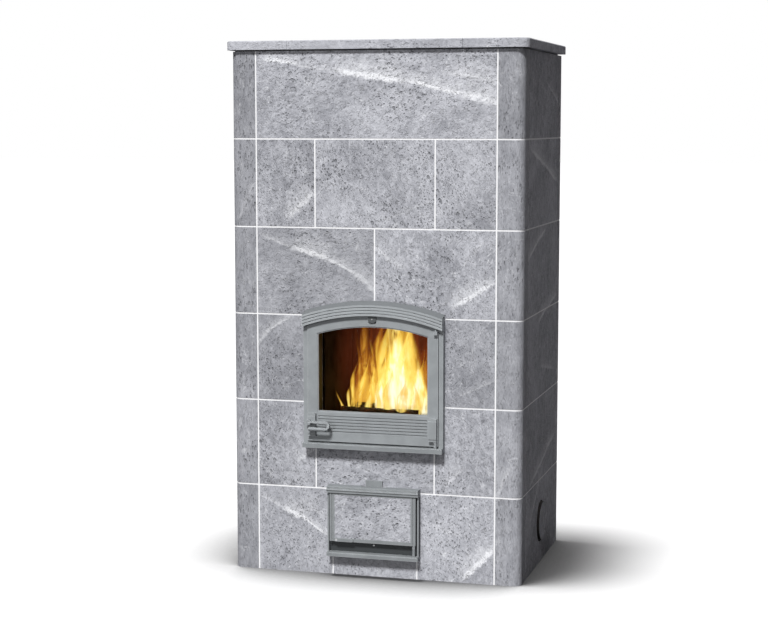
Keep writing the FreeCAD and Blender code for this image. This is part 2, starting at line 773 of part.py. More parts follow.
def upper_chamber():
    """Walls above the firebox: the sides stop short, so the gases cross over and fall outside them."""
    lining = inner_front + s.lining_thickness
    sides = (ceiling_top, crossover_top - s.crossover_height)
    group("upper_chamber_walls", [
        block("upper_front", (-core_x, core_x), (inner_front, lining), (ceiling_top, crossover_top)),
        block("upper_back", (-core_x, core_x), (firebox_back, core_back), (ceiling_top, crossover_top)),
        block("upper_left", (-core_x, -s.firebox_half), (lining, firebox_back), sides),
        block("upper_right", (s.firebox_half, core_x), (lining, firebox_back), sides)])
    inside, depth = (-inner_x, inner_x), (inner_front, inner_back)
    node(block("core_top_slab", inside, depth, (crossover_top, core_top)))
    node(block("insulation_board", inside, depth, (core_top, shell_top)))


def grate():
    part = body("grate", middle_y)
    x = s.grate_width / 2 - s.loose_fit
    y = s.grate_depth / 2 - s.loose_fit
    lower = from_above(part, s.door_sill - s.grate_body)
    rectangle(lower, (-x, x), (-y, y))
    pad(part, lower, s.grate_body)
    rim = from_above(part, s.door_sill)
    lip = s.grate_lip
    rectangle(rim, (-x - lip, x + lip), (-y - lip, y + lip))
    pad(part, rim, s.grate_rim)
    slot = from_above(part, s.door_sill + s.grate_rim)
    start = -x + s.slot_margin
    rectangle(slot, (start, start + s.slot_width), (-y + s.slot_margin, y - s.slot_margin))
    first = cut(part, slot, s.grate_body + s.grate_rim)
    slots = part.newObject("PartDesign::LinearPattern", "slots")
    slots.Originals = [first]
    slots.Direction = (slot, ["H_Axis"])
    bind(slots, "Length", 2 * x - 2 * s.slot_margin - s.slot_width)
    bind(slots, "Occurrences", s.grate_slots)
    part.Tip = slots
    node(part)


# Flue collar and soot hatches

def flue_collar():
    part = body("flue_collar", back)
    bind(part, "Placement.Base.z", s.flue_height)
    ring = side_on(part)
    tube = s.flue_radius + s.collar_wall
    wide = tube + s.collar_flange
    inside = inner_back - back
    outline(ring, [(inside, s.flue_radius), (s.collar_reach, s.flue_radius), (s.collar_reach, tube),
                   (s.collar_wall, tube), (s.collar_wall, wide), (0, wide), (0, tube), (inside, tube)])
    turned(part, ring)
    node(part)


def hatch_plugs():
    """Round plugs, standing a little proud of the side stones, with a groove round the face."""
    for side, name in ((-1, "left"), (1, "right")):
        part = body(f"{name}_hatch_plug", s.hatch_offset)
        bind(part, "Placement.Base.z", s.hatch_height)
        half = facing(part)
        face = side * (half_width + s.plug_stand)
        step = face - side * s.plug_groove_depth
        inner = face - side * s.plug_length
        radius = s.hatch_radius - s.loose_fit
        neck = radius - s.plug_groove
        outline(half, [(inner, 0), (face, 0), (face, neck), (step, neck), (step, radius), (inner, radius)])
        turned(part, half)
        node(part)


# Firebox door frame

def firebox_frame():
    """The frame plate with its stiles, sleeve and the keeper above the latch cam."""
    part = body("firebox_frame")
    plate = facing(part)
    arch(plate, s.frame_half, frame_bottom, arch_radius + s.hood_height - s.hood_bevel)
    pad(part, plate, s.flange_thickness)
    stiles = facing(part, s.flange_thickness)
    for side in (-1, 1):
        rectangle(stiles, (side * stile_edge, side * s.frame_half), (sill_top, hood_end))
    pad(part, stiles, s.stile_out - s.flange_thickness)
    sleeve = facing(part)
    arch(sleeve, sleeve_half, sleeve_bottom, sleeve_radius)
    pad(part, sleeve, s.sleeve_depth, backwards=True)
    mouth = facing(part, s.flange_thickness)
    arch(mouth, opening_half, opening_bottom, opening_radius)
    cut(part, mouth, s.flange_thickness + s.sleeve_depth)
    low = handle_z + s.cam_radius + s.cam_throw + s.loose_fit
    half = s.keeper_width / 2
    keeper = facing(part, s.flange_thickness)
    rectangle(keeper, (handle_x - half, handle_x + half), (low, low + s.keeper_height))
    pad(part, keeper, cam_front - s.flange_thickness)
    node(part)


def ribbed_edge():
    """The hood's section: a flat underside, ribs up the front, and a sloping top."""
    ribbed = s.hood_height - s.hood_bevel
    pitch = (ribbed + s.rib_groove) / s.hood_ribs
    bottom = s.rib_depth - s.hood_out
    points = [(-s.flange_thickness, arch_radius), (-s.hood_out, arch_radius)]
    for rib in range(1, int(s.hood_ribs.number)):
        high = arch_radius + rib * pitch
        low = high - s.rib_groove
        points += [(-s.hood_out, low), (bottom, low + s.rib_depth / 3), (bottom, high - s.rib_depth / 3),
                   (-s.hood_out, high)]
    top = arch_radius + s.hood_height
    return points + [(-s.hood_out, top - s.hood_bevel), (-s.flange_thickness, top)]


def firebox_hood():
    part = body("firebox_hood")
    section = side_on(part, lift=arch_centre)
    outline(section, ribbed_edge())
    turned(part, section, angle=HOOD_SWEEP)
    ends = facing(part)
    high = arch_crown + s.hood_height
    for side in (-1, 1):
        rectangle(ends, (side * s.frame_half, side * 2 * s.frame_half), (arch_centre, high))
    cut(part, ends, s.hood_out, forwards=True)
    drilled(part, hinge_x, -s.hinge_out, (hood_end - s.lug_height, hood_end + s.pin_grip),
            s.pin_radius + s.pin_fit)
    node(part)


def sill_bar(label, half, bottom, top, out, hinge):
    """A bevelled bar under a door, with the hole for its lower hinge pin."""
    part = body(label)
    section = side_on(part)
    bevel = s.sill_bevel
    outline(section, [(-s.flange_thickness, bottom), (-out, bottom), (-out, top - bevel),
                      (bevel - out, top), (-s.flange_thickness, top)])
    pad(part, section, 2 * half, centred=True)
    drilled(part, hinge[0], -hinge[1], (top - s.pin_grip, top), s.pin_radius + s.pin_fit)
    node(part)


def hinge_pins(label, hinge, sill, leaf_low, leaf_high, carrier):
    """A lower pin with the collar that carries the leaf, and a plain upper pin."""
    lower = body(f"{label}_lower")
    pillar(lower, hinge[0], -hinge[1], (sill - s.pin_grip, leaf_low + s.pin_depth), s.pin_radius)
    pillar(lower, hinge[0], -hinge[1], (sill, leaf_low - s.pin_fit), s.pin_collar)
    upper = body(f"{label}_upper")
    pillar(upper, hinge[0], -hinge[1], (leaf_high, carrier), s.pin_radius)
    group(label, [lower, upper])


def firebox_door():
    part = body("firebox_door")
    leaf = facing(part, s.leaf_back)
    arch(leaf, leaf_half, leaf_bottom, leaf_radius)
    pad(part, leaf, s.leaf_thickness)
    window = facing(part, leaf_front)
    arch(window, window_half, window_bottom, window_radius)
    cut(part, window, s.leaf_thickness)
    slot = facing(part, leaf_front)
    wide = s.tab_stem + s.slide_travel + s.loose_fit
    rectangle(slot, (-wide, wide), air_slot_span(0 * s.loose_fit))
    cut(part, slot, s.leaf_thickness)
    step = facing(part, leaf_front)
    wider = window_half + s.window_step
    arch(step, wider, window_bottom - s.window_step, window_radius + s.window_step)
    cut(part, step, s.window_step_depth)
    groove = facing(part, leaf_front)
    high = window_bottom - s.band_drop + s.band_groove / 2
    rectangle(groove, (-window_half, window_half), (high - s.band_groove, high))
    first = cut(part, groove, s.rib_depth)
    band = part.newObject("PartDesign::LinearPattern", "band")
    band.Originals = [first]
    band.Direction = (groove, ["V_Axis"])
    band.Reversed = True
    bind(band, "Length", s.band_pitch * (s.band_grooves - 1))
    bind(band, "Occurrences", s.band_grooves)
    part.Tip = band
    bosses(part)
    lug = facing(part, leaf_front)
    half = s.lug_width / 2
    rectangle(lug, (hinge_x - half, hinge_x + half), (lug_top - s.lug_height, lug_top))
    pad(part, lug, s.hinge_out + half - leaf_front)
    bore = s.pin_radius + s.pin_fit
    drilled(part, hinge_x, -s.hinge_out, (boss_bottom, boss_bottom + s.pin_depth + s.pin_fit), bore)
    drilled(part, hinge_x, -s.hinge_out, (lug_top - s.lug_height, lug_top), bore)
    spindle = facing(part, s.boss_out)
    circle(spindle, handle_x, handle_z, s.spindle_radius + s.pin_fit)
    cut(part, spindle, s.boss_out - s.leaf_back)
    node(part)


lug_top = hood_end - s.leaf_top_gap


def air_slot_span(lap):
    """Bottom and top of the air slot in the leaf, or of what laps over its edges."""
    reach = s.air_slot / 2 + lap
    return air_slot_z - reach, air_slot_z + reach


def bosses(part):
    """Two blocks low on the leaf, stepped at both ends: one for the handle, one for the hinge."""
    for side in (-1, 1):
        outer = stile_edge - s.boss_inset
        x = (side * (outer - s.boss_width), side * outer)
        whole = facing(part, leaf_front)
        rectangle(whole, x, (boss_bottom, boss_top))
        pad(part, whole, s.boss_out - s.boss_step_depth - leaf_front)
        face = facing(part, s.boss_out - s.boss_step_depth)
        rectangle(face, x, (boss_bottom + s.boss_step, boss_top - s.boss_step))
        pad(part, face, s.boss_step_depth)


def door_glass():
    """The pane, the gasket between it and the leaf, and the rope seal round the leaf."""
    pane = body("door_glass")
    sheet_outline = facing(pane, glass_back)
    half, low = window_half + s.glass_lap, window_bottom - s.glass_lap
    high = window_radius + s.glass_lap
    arch(sheet_outline, half, low, high)
    pad(pane, sheet_outline, s.glass_thickness)
    node(pane)
    gasket = body("glass_gasket")
    ring = facing(gasket, s.leaf_back - s.gasket_thickness)
    arch(ring, half, low, high)
    arch(ring, window_half, window_bottom, window_radius)
    pad(gasket, ring, s.gasket_thickness)
    node(gasket)
    seal = body("door_rope_seal")
    rope = facing(seal, s.flange_thickness + s.seal_fit)
    for inset in (s.seal_inset + s.seal_width, s.seal_inset):
        arch(rope, opening_half + inset, opening_bottom - inset, opening_radius + inset)
    pad(seal, rope, s.leaf_back - s.flange_thickness - s.seal_fit)
    node(seal)


def glass_clips():
    """Four clips screwed to the back of the leaf, which hold the pane's edge."""
    spread = s.clip_spread
    low = window_bottom - s.glass_lap
    reach = window_radius + s.glass_lap
    high = arch_centre + root(reach * reach - (spread + s.clip_width / 2) * (spread + s.clip_width / 2))
    clips = []
    for end, edge, out in (("lower", low, -1), ("upper", high + s.clip_lap / 2, 1)):
        for side, name in ((-1, "left"), (1, "right")):
            clip = body(f"clip_{end}_{name}")
            section = side_on(clip, side * spread)
            foot, tip = edge + out * s.clip_foot, edge - out * s.clip_lap
            gap = edge + out * s.clip_lap / 2
            outline(section, [(-s.leaf_back, foot), (s.clip_thickness - glass_back, foot),
                              (s.clip_thickness - glass_back, tip), (-glass_back, tip),
                              (-glass_back, gap), (-s.leaf_back, gap)])
            pad(clip, section, s.clip_width, centred=True)
            clips.append(clip)
    group("glass_clips", clips)


# Handle and latches

def door_handle():
    """A round grip on a strap that bends back from the hub, both in one leaning plane."""
    part = body("door_handle")
    bind(part, "Placement.Base.x", handle_x)
    bind(part, "Placement.Base.z", handle_z)
    start = s.boss_out + s.loose_fit
    rod_out = s.boss_out + s.handle_clear + s.handle_radius
    reach, depth = s.handle_length, 2 * s.handle_radius
    bend = leaning(part, rod_out)
    for side in (1, -1):
        circle(bend, reach, -(s.handle_spread / 2), s.handle_spread / 2 + side * s.handle_strap / 2)
    pad(part, bend, depth, centred=True)
    inner_half = leaning(part, rod_out)
    rectangle(inner_half, (0, reach), (-2 * s.handle_spread, s.handle_spread))
    cut(part, inner_half, 2 * depth, centred=True)
    strap = leaning(part, rod_out)
    rectangle(strap, (0, reach), (-(s.handle_strap / 2), s.handle_strap / 2))
    pad(part, strap, depth, centred=True)
    tilt = math.radians(s.handle_tilt.number)
    grip = side_on(part)
    grip_out, grip_z = rod_out + s.handle_spread * math.sin(tilt), -(s.handle_spread * math.cos(tilt))
    circle(grip, -grip_out, grip_z, s.handle_radius)
    bar = pad(part, grip, reach)
    doc.recompute()
    tip = part.newObject("PartDesign::Chamfer", "tip")
    tip.Base = (bar, [round_edge(bar, 0, number(-grip_out), number(grip_z))])
    bind(tip, "Size", s.grip_bevel)
    hub = facing(part, start)
    circle(hub, 0, 0, s.hub_radius)
    pad(part, hub, rod_out + s.handle_radius - start)
    socket = facing(part, start + s.spindle_seat)
    circle(socket, 0, 0, s.spindle_radius + s.pin_fit)
    cut(part, socket, s.spindle_seat)
    node(part)


def leaning(part, out):
    """A sketch in the plane that the strap and the grip share."""
    drawing = facing(part, out)
    drawing.AttachmentOffset.Rotation = FreeCAD.Rotation(FreeCAD.Vector(1, 0, 0), -s.handle_tilt.number)
    return drawing


def round_edge(feature, x, y, z):
    """The name of the full round edge with its middle at a place."""
    middle = FreeCAD.Vector(x, y, z)
    for index, edge in enumerate(feature.Shape.Edges, start=1):
        centre = getattr(edge.Curve, "Center", None)
        if edge.isClosed() and centre and centre.distanceToPoint(middle) < 1e-6:
            return f"Edge{index}"
    raise ValueError("no round edge there")


def latch_cam(label, x, z, throw, end):
    """A latch spindle with an eccentric disc on its inner end."""
    part = body(label)
    disc = facing(part, cam_front - s.cam_thickness)
    circle(disc, x + throw[0], z + throw[1], s.cam_radius)
    pad(part, disc, s.cam_thickness)
    spindle = facing(part, cam_front - s.cam_thickness)
    circle(spindle, x, z, s.spindle_radius)
    pad(part, spindle, end - cam_front + s.cam_thickness)
    node(part)


def air_tab():
    """The upper air slide: a tab in front of the leaf, a stem in its slot and a shutter behind it."""
    part = body("upper_air_slide")
    shutter = facing(part, s.leaf_back - s.loose_fit)
    rectangle(shutter, (-s.shutter_half, s.shutter_half), air_slot_span(s.shutter_lap))
    pad(part, shutter, s.shutter_thickness, backwards=True)
    stem = facing(part, s.leaf_back - s.loose_fit)
    rectangle(stem, (-s.tab_stem, s.tab_stem), air_slot_span(-s.loose_fit))
    pad(part, stem, s.leaf_thickness + 2 * s.loose_fit)
    tab = facing(part, leaf_front + s.loose_fit)
    high = arch_crown - s.leaf_top_gap - s.loose_fit
    low = high - s.tab_height
    half, foot = s.tab_half, s.tab_half - s.tab_bevel
    outline(tab, [(-half, high), (-half, low + s.tab_bevel), (-foot, low), (foot, low),
                  (half, low + s.tab_bevel), (half, high)])
    pad(part, tab, s.tab_thickness)
    node(part)


# Ash door

def ash_frame():
    part = body("ash_frame")
    plate = facing(part)
    rectangle(plate, (-s.ash_frame_half, s.ash_frame_half), (s.ash_frame_bottom, ash_top))
    pad(part, plate, s.flange_thickness)
    stiles = facing(part, s.flange_thickness)
    edge = s.ash_frame_half - s.ash_stile_width
    for side in (-1, 1):
        rectangle(stiles, (side * edge, side * s.ash_frame_half), (ash_sill_top, ash_hood_bottom))
    pad(part, stiles, s.stile_out - s.flange_thickness)
    sleeve = facing(part)
    outer = ash_opening_half + s.sleeve_wall
    rectangle(sleeve, (-outer, outer), (ash_sleeve_bottom, ash_opening_top + s.sleeve_wall))
    pad(part, sleeve, s.sleeve_depth, backwards=True)
    mouth = facing(part, s.flange_thickness)
    rectangle(mouth, (-ash_opening_half, ash_opening_half), (ash_opening_bottom, ash_opening_top))
    cut(part, mouth, s.flange_thickness + s.sleeve_depth)
    notch = facing(part, s.flange_thickness)
    wide = s.lever_stem + s.lever_travel + s.leaf_gap
    rectangle(notch, (-wide, wide), (ash_top - s.lever_depth - s.loose_fit, ash_top))
    cut(part, notch, s.flange_thickness)
    keeper = facing(part, s.flange_thickness)
    near = latch_x - s.cam_radius - s.cam_throw - s.loose_fit
    half = s.keeper_width / 2
    rectangle(keeper, (near - s.keeper_height, near), (latch_z - half, latch_z + half))
    pad(part, keeper, cam_front - s.flange_thickness)
    screw = facing(part, s.flange_thickness)
    circle(screw, 0, s.screw_height, s.screw_radius / 2 + s.pin_fit)
    cut(part, screw, s.flange_thickness)
    node(part)


def ash_hood():
    """A stepped moulding above the ash door."""
    part = body("ash_hood")
    section = side_on(part)
    out, low, high = -s.ash_hood_out, ash_hood_bottom, ash_top
    step = s.rib_depth
    quarter_height = s.ash_hood_height / 4
    outline(section, [(-s.flange_thickness, low), (out + step, low), (out + step, low + quarter_height),
                      (out, low + quarter_height + step), (out, low + 2 * quarter_height),
                      (out + step, low + 2 * quarter_height + step), (out + step, high - step),
                      (out + 3 * step, high), (-s.flange_thickness, high)])
    pad(part, section, 2 * s.ash_frame_half, centred=True)
    drilled(part, ash_hinge_x, -ash_hinge_out, (low, low + s.pin_grip), s.pin_radius + s.pin_fit)
    node(part)


def ash_door():
    part = body("ash_door")
    leaf = facing(part, s.leaf_back)
    rectangle(leaf, (-ash_leaf_half, ash_leaf_half), (ash_leaf_bottom, ash_leaf_top))
    pad(part, leaf, s.ash_leaf_thickness)
    recess = facing(part, ash_leaf_front)
    rectangle(recess, (-panel_half, panel_half), panel_z)
    cut(part, recess, s.panel_thickness + s.panel_recess)
    grooves = facing(part, ash_leaf_front)
    middle = (ash_leaf_half + panel_half) / 2
    for side in (-1, 1):
        rectangle(grooves, (side * (middle - s.rim_groove / 2), side * (middle + s.rim_groove / 2)),
                  (ash_leaf_bottom, ash_leaf_top))
    cut(part, grooves, s.rim_groove)
    bore = s.pin_radius + s.pin_fit
    depth = s.pin_depth + s.pin_fit
    drilled(part, ash_hinge_x, -ash_hinge_out, (ash_leaf_bottom, ash_leaf_bottom + depth), bore)
    drilled(part, ash_hinge_x, -ash_hinge_out, (ash_leaf_top - depth, ash_leaf_top), bore)
    spindle = facing(part, ash_leaf_front)
    circle(spindle, latch_x, latch_z, s.spindle_radius + s.pin_fit)
    cut(part, spindle, s.ash_leaf_thickness)
    node(part)
    panel_front = front - ash_leaf_front + s.panel_recess
    node(block("ash_door_stone", (-panel_half, panel_half),
               (panel_front, panel_front + s.panel_thickness), panel_z))


panel_z = (ash_leaf_bottom + s.panel_rise, ash_leaf_top - s.panel_top)


def ash_latch():
    """A flat lever across the foot of the ash door, on a spindle near its left end."""
    part = body("ash_latch")
    bind(part, "Placement.Base.x", latch_x)
    bind(part, "Placement.Base.z", latch_z)
    start = ash_leaf_front + s.loose_fit
    lever = facing(part, start)
    half = s.latch_height / 2
    rectangle(lever, (-half, s.latch_length), (-half, half))
    plate = pad(part, lever, s.latch_thickness)
    doc.recompute()
    tip = part.newObject("PartDesign::Fillet", "tip")
    tip.Base = (plate, [f"Edge{index}" for index, edge in enumerate(plate.Shape.Edges, start=1)
                        if edge.BoundBox.YLength > number(s.latch_thickness) / 2])
    bind(tip, "Radius", half - s.loose_fit)
    bore = facing(part, start + s.latch_thickness)
    circle(bore, 0, 0, s.spindle_radius + s.pin_fit)
    cut(part, bore, s.latch_thickness)
    node(part)


def air_lever():
    """The lower air slide: a flat tab on the ash door frame, with its stem in the frame's notch."""
    part = body("lower_air_slide")
    gap = (s.flange_thickness - s.lever_thickness) / 2
    drawing = facing(part, gap)
    low, high = ash_top + s.loose_fit, ash_top + s.lever_height
    stem = ash_top - s.lever_depth
    outline(drawing, [(-s.lever_stem, stem), (s.lever_stem, stem), (s.lever_stem, low), (s.lever_half, low),
                      (s.lever_half, high), (-s.lever_half, high), (-s.lever_half, low),
                      (-s.lever_stem, low)])
    pad(part, drawing, s.lever_thickness)
    node(part)


def apron_screw():
    part = body("apron_screw")
    bind(part, "Placement.Base.z", s.screw_height)
    half = side_on(part)
    shank = s.screw_radius / 2
    top = -s.flange_thickness - shank
    outline(half, [(-s.pin_radius, 0), (top, 0), (top, shank), (-s.flange_thickness, s.screw_radius),
                   (-s.flange_thickness, shank), (-s.pin_radius, shank)])
    turned(part, half)
    node(part)


def ash_pan():
    """A sheet tray with a strap pull, standing on the ash pit floor."""
    part = body("ash_pan", front + s.pan_front)
    low = ash_opening_bottom
    tray = from_above(part, low)
    rectangle(tray, (-pan_half, pan_half), (0, s.pan_length))
    pad(part, tray, s.pan_height)
    hollow = from_above(part, low + s.pan_height)
    wall = s.pan_wall
    rectangle(hollow, (wall - pan_half, pan_half - wall), (wall, s.pan_length - wall))
    cut(part, hollow, s.pan_height - wall)
    strap = from_above(part, low + s.pan_height / 2)
    outer, reach, thick = s.pull_half, -s.pull_reach, s.pull_strap
    outline(strap, [(-outer, 0), (-outer, reach), (outer, reach), (outer, 0), (outer - thick, 0),
                    (outer - thick, reach + thick), (thick - outer, reach + thick), (thick - outer, 0)])
    pad(part, strap, s.pull_height)
    node(part)


def build():
    front_stones()
    corner_stones()
    side_stones()
    back_stones()
    mortar()
    cover()
    core()
    grate()
    flue_collar()
    hatch_plugs()
    firebox_frame()
    firebox_hood()
    sill_bar("firebox_sill", s.frame_half, frame_bottom, sill_top, s.sill_out, (hinge_x, s.hinge_out))
    hinge_pins("firebox_hinge_pins", (hinge_x, s.hinge_out), sill_top, boss_bottom,
               lug_top - s.lug_height, hood_end + s.pin_grip)
    firebox_door()
    door_glass()
    glass_clips()
    door_handle()
    latch_cam("firebox_latch_cam", handle_x, handle_z, (0, s.cam_throw),
              s.boss_out + s.loose_fit + s.spindle_seat)
    air_tab()
    ash_frame()
    ash_hood()
    ash_hinge = (ash_hinge_x, ash_hinge_out)
    sill_bar("ash_sill", s.ash_frame_half, s.ash_frame_bottom, ash_sill_top, s.ash_hood_out, ash_hinge)
    hinge_pins("ash_hinge_pins", ash_hinge, ash_sill_top, ash_leaf_bottom,
               ash_leaf_top - s.pin_depth, ash_hood_bottom + s.pin_grip)
    ash_door()
    ash_latch()
    latch_cam("ash_latch_cam", latch_x, latch_z, (-s.cam_throw, 0),
              ash_leaf_front + s.loose_fit + s.latch_thickness)
    air_lever()
    apron_screw()
    ash_pan()


def write():
    """Writes every sub-part, once all of them have come out whole."""
    doc.recompute()
    for thing in doc.Objects:
        if {"Invalid", "Error"} & set(thing.State):
            raise RuntimeError(f"{thing.Label} is not valid: {thing.State}")
    for thing in nodes:
        if thing.Shape.isNull() or not thing.Shape.isValid():
            raise RuntimeError(f"{thing.Label} has no valid shape")
    os.makedirs("parts", exist_ok=True)
    for thing in nodes:
        thing.Shape.exportStep(os.path.join("parts", f"{thing.Label}.step"))
    print(len(nodes), "sub-parts written")


build()
write()
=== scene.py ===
"""Finishes, fire and studio for the soapstone masonry heater."""
import math

import bmesh
import bpy
from bpy.props import BoolProperty, FloatProperty, FloatVectorProperty, IntProperty, PointerProperty
from bpy.types import Operator, Panel, PropertyGroup
from mathutils import Euler, Matrix, Vector, noise


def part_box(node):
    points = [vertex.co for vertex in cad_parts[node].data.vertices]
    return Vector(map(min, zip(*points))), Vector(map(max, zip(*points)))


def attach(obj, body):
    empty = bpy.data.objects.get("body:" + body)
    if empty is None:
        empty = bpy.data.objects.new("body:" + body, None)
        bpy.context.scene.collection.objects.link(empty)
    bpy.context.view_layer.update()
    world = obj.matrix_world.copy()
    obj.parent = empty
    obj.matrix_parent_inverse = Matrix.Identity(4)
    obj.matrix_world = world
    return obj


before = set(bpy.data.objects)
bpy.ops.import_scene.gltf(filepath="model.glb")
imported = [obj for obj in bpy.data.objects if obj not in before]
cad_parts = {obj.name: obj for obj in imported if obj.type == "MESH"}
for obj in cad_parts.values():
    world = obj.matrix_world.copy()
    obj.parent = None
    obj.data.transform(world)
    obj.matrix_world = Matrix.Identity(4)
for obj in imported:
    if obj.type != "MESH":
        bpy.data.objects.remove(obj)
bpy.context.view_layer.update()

bl_info = {
    "name": "Masonry heater",
    "version": (1, 0, 0),
    "blender": (4, 5, 0),
    "location": "View3D > Sidebar > Heater",
    "description": "Dresses a soapstone masonry heater, lights its fire and sets it in a plain studio",
    "category": "Object",
}

COURSE = 0.3
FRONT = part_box("front_6_slab")[0].y
GRATE_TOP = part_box("grate")[1].z


# Settings that a user may change

def colour_setting(name, description, default):
    return FloatVectorProperty(name=name, description=description, subtype="COLOR", size=3, min=0, max=1,
                               default=default)


def length_setting(name, description, default, least=0.0):
    return FloatProperty(name=name, description=description, subtype="DISTANCE", unit="LENGTH", min=least,
                         default=default)


def angle_setting(name, description, degrees):
    return FloatProperty(name=name, description=description, subtype="ANGLE", unit="ROTATION",
                         default=math.radians(degrees))


def power_setting(name, description, default):
    return FloatProperty(name=name, description=description, min=0, default=default)


class StoneFinish(PropertyGroup):
    pale: colour_setting("Pale stone", "Colour of the pale parts of the soapstone", (0.585, 0.594, 0.637))
    deep: colour_setting("Deep stone", "Colour of the darker parts of the soapstone", (0.285, 0.291, 0.320))
    speck: colour_setting("Specks", "Colour of the dark mineral specks", (0.110, 0.115, 0.128))
    vein: colour_setting("Veins", "Colour of the white veins", (0.86, 0.87, 0.90))
    mortar: colour_setting("Mortar", "Colour of the joints", (0.88, 0.88, 0.89))
    grain: length_setting("Grain", "Depth of the stone's surface grain", 0.0034)


class IronFinish(PropertyGroup):
    paint: colour_setting("Paint", "Colour of the heat-proof paint on the castings", (0.272, 0.290, 0.300))
    # The edge colour is partly wear and partly a painted highlight along the castings' edges
    edge: colour_setting("Edges", "Colour of the castings along their rubbed edges", (0.52, 0.54, 0.555))
    # The recess colour is painted shade, laid into grooves and onto the shaded apron plate
    recess_shade: colour_setting("Recesses", "Colour of the castings in their grooves", (0.085, 0.094, 0.099))
    edge_width: length_setting("Edge width", "Width of the rubbed edges", 0.0022)


class FireSet(PropertyGroup):
    lit: BoolProperty(name="Lit", description="Puts burning logs in the firebox", default=True)
    log_radius: length_setting("Log radius", "Radius of a log", 0.035, least=0.01)
    flame_height: length_setting("Flame height", "Height of a full flame", 0.40, least=0.05)
    glow: power_setting("Glow", "Strength of the flames", 1.5)
    seed: IntProperty(name="Variation", description="Changes the run of the flames", default=4)


class StudioSet(PropertyGroup):
    eye: FloatVectorProperty(
        name="Camera", description="Place of the camera", subtype="TRANSLATION", unit="LENGTH",
        size=3, default=(1.6145, -6.0012, 1.5580))
    turn: angle_setting("Turn", "Turn of the camera to the left", 15.616)
    dip: angle_setting("Dip", "Dip of the camera below the horizon", 6.480)
    lens: FloatProperty(
        name="Lens", description="Focal length on a 36 mm sensor", subtype="DISTANCE_CAMERA",
        unit="CAMERA", default=81.85)
    key_height: angle_setting("Key height", "Height of the key light above the horizon", 47)
    key_side: angle_setting("Key side", "Turn of the key light to the left of the front", 1)
    key_power: power_setting("Key power", "Strength of the key light", 3.85)
    key_spread: angle_setting("Key spread", "Width of the key light in the sky", 10)
    front_height: angle_setting("Front height", "Height of the weak light that softens the shadows", 8)
    front_side: angle_setting("Front side", "Turn of the weak light to the left of the front", 16)
    front_power: power_setting("Front power", "Strength of the weak light", 0.62)
    front_spread: angle_setting("Front spread", "Width of the weak light in the sky", 26)
    floor_light_height: angle_setting("Floor light height", "Height of the light that shades the floor", 80)
    floor_light_side: angle_setting("Floor light side", "Turn of that light to the left of the front", 64)
    floor_light_power: power_setting("Floor light power", "Strength of that light", 2.9)
    floor_light_spread: angle_setting("Floor light spread", "Width of that light in the sky", 14)
    fill: power_setting("Fill", "Strength of the light from all round", 0.08)
    fill_tint: colour_setting("Fill tint", "Colour of the light from all round", (1.0, 0.955, 1.0))
    floor: colour_setting("Floor", "Colour of the floor", (0.97, 0.97, 0.97))


# Nodes of a material

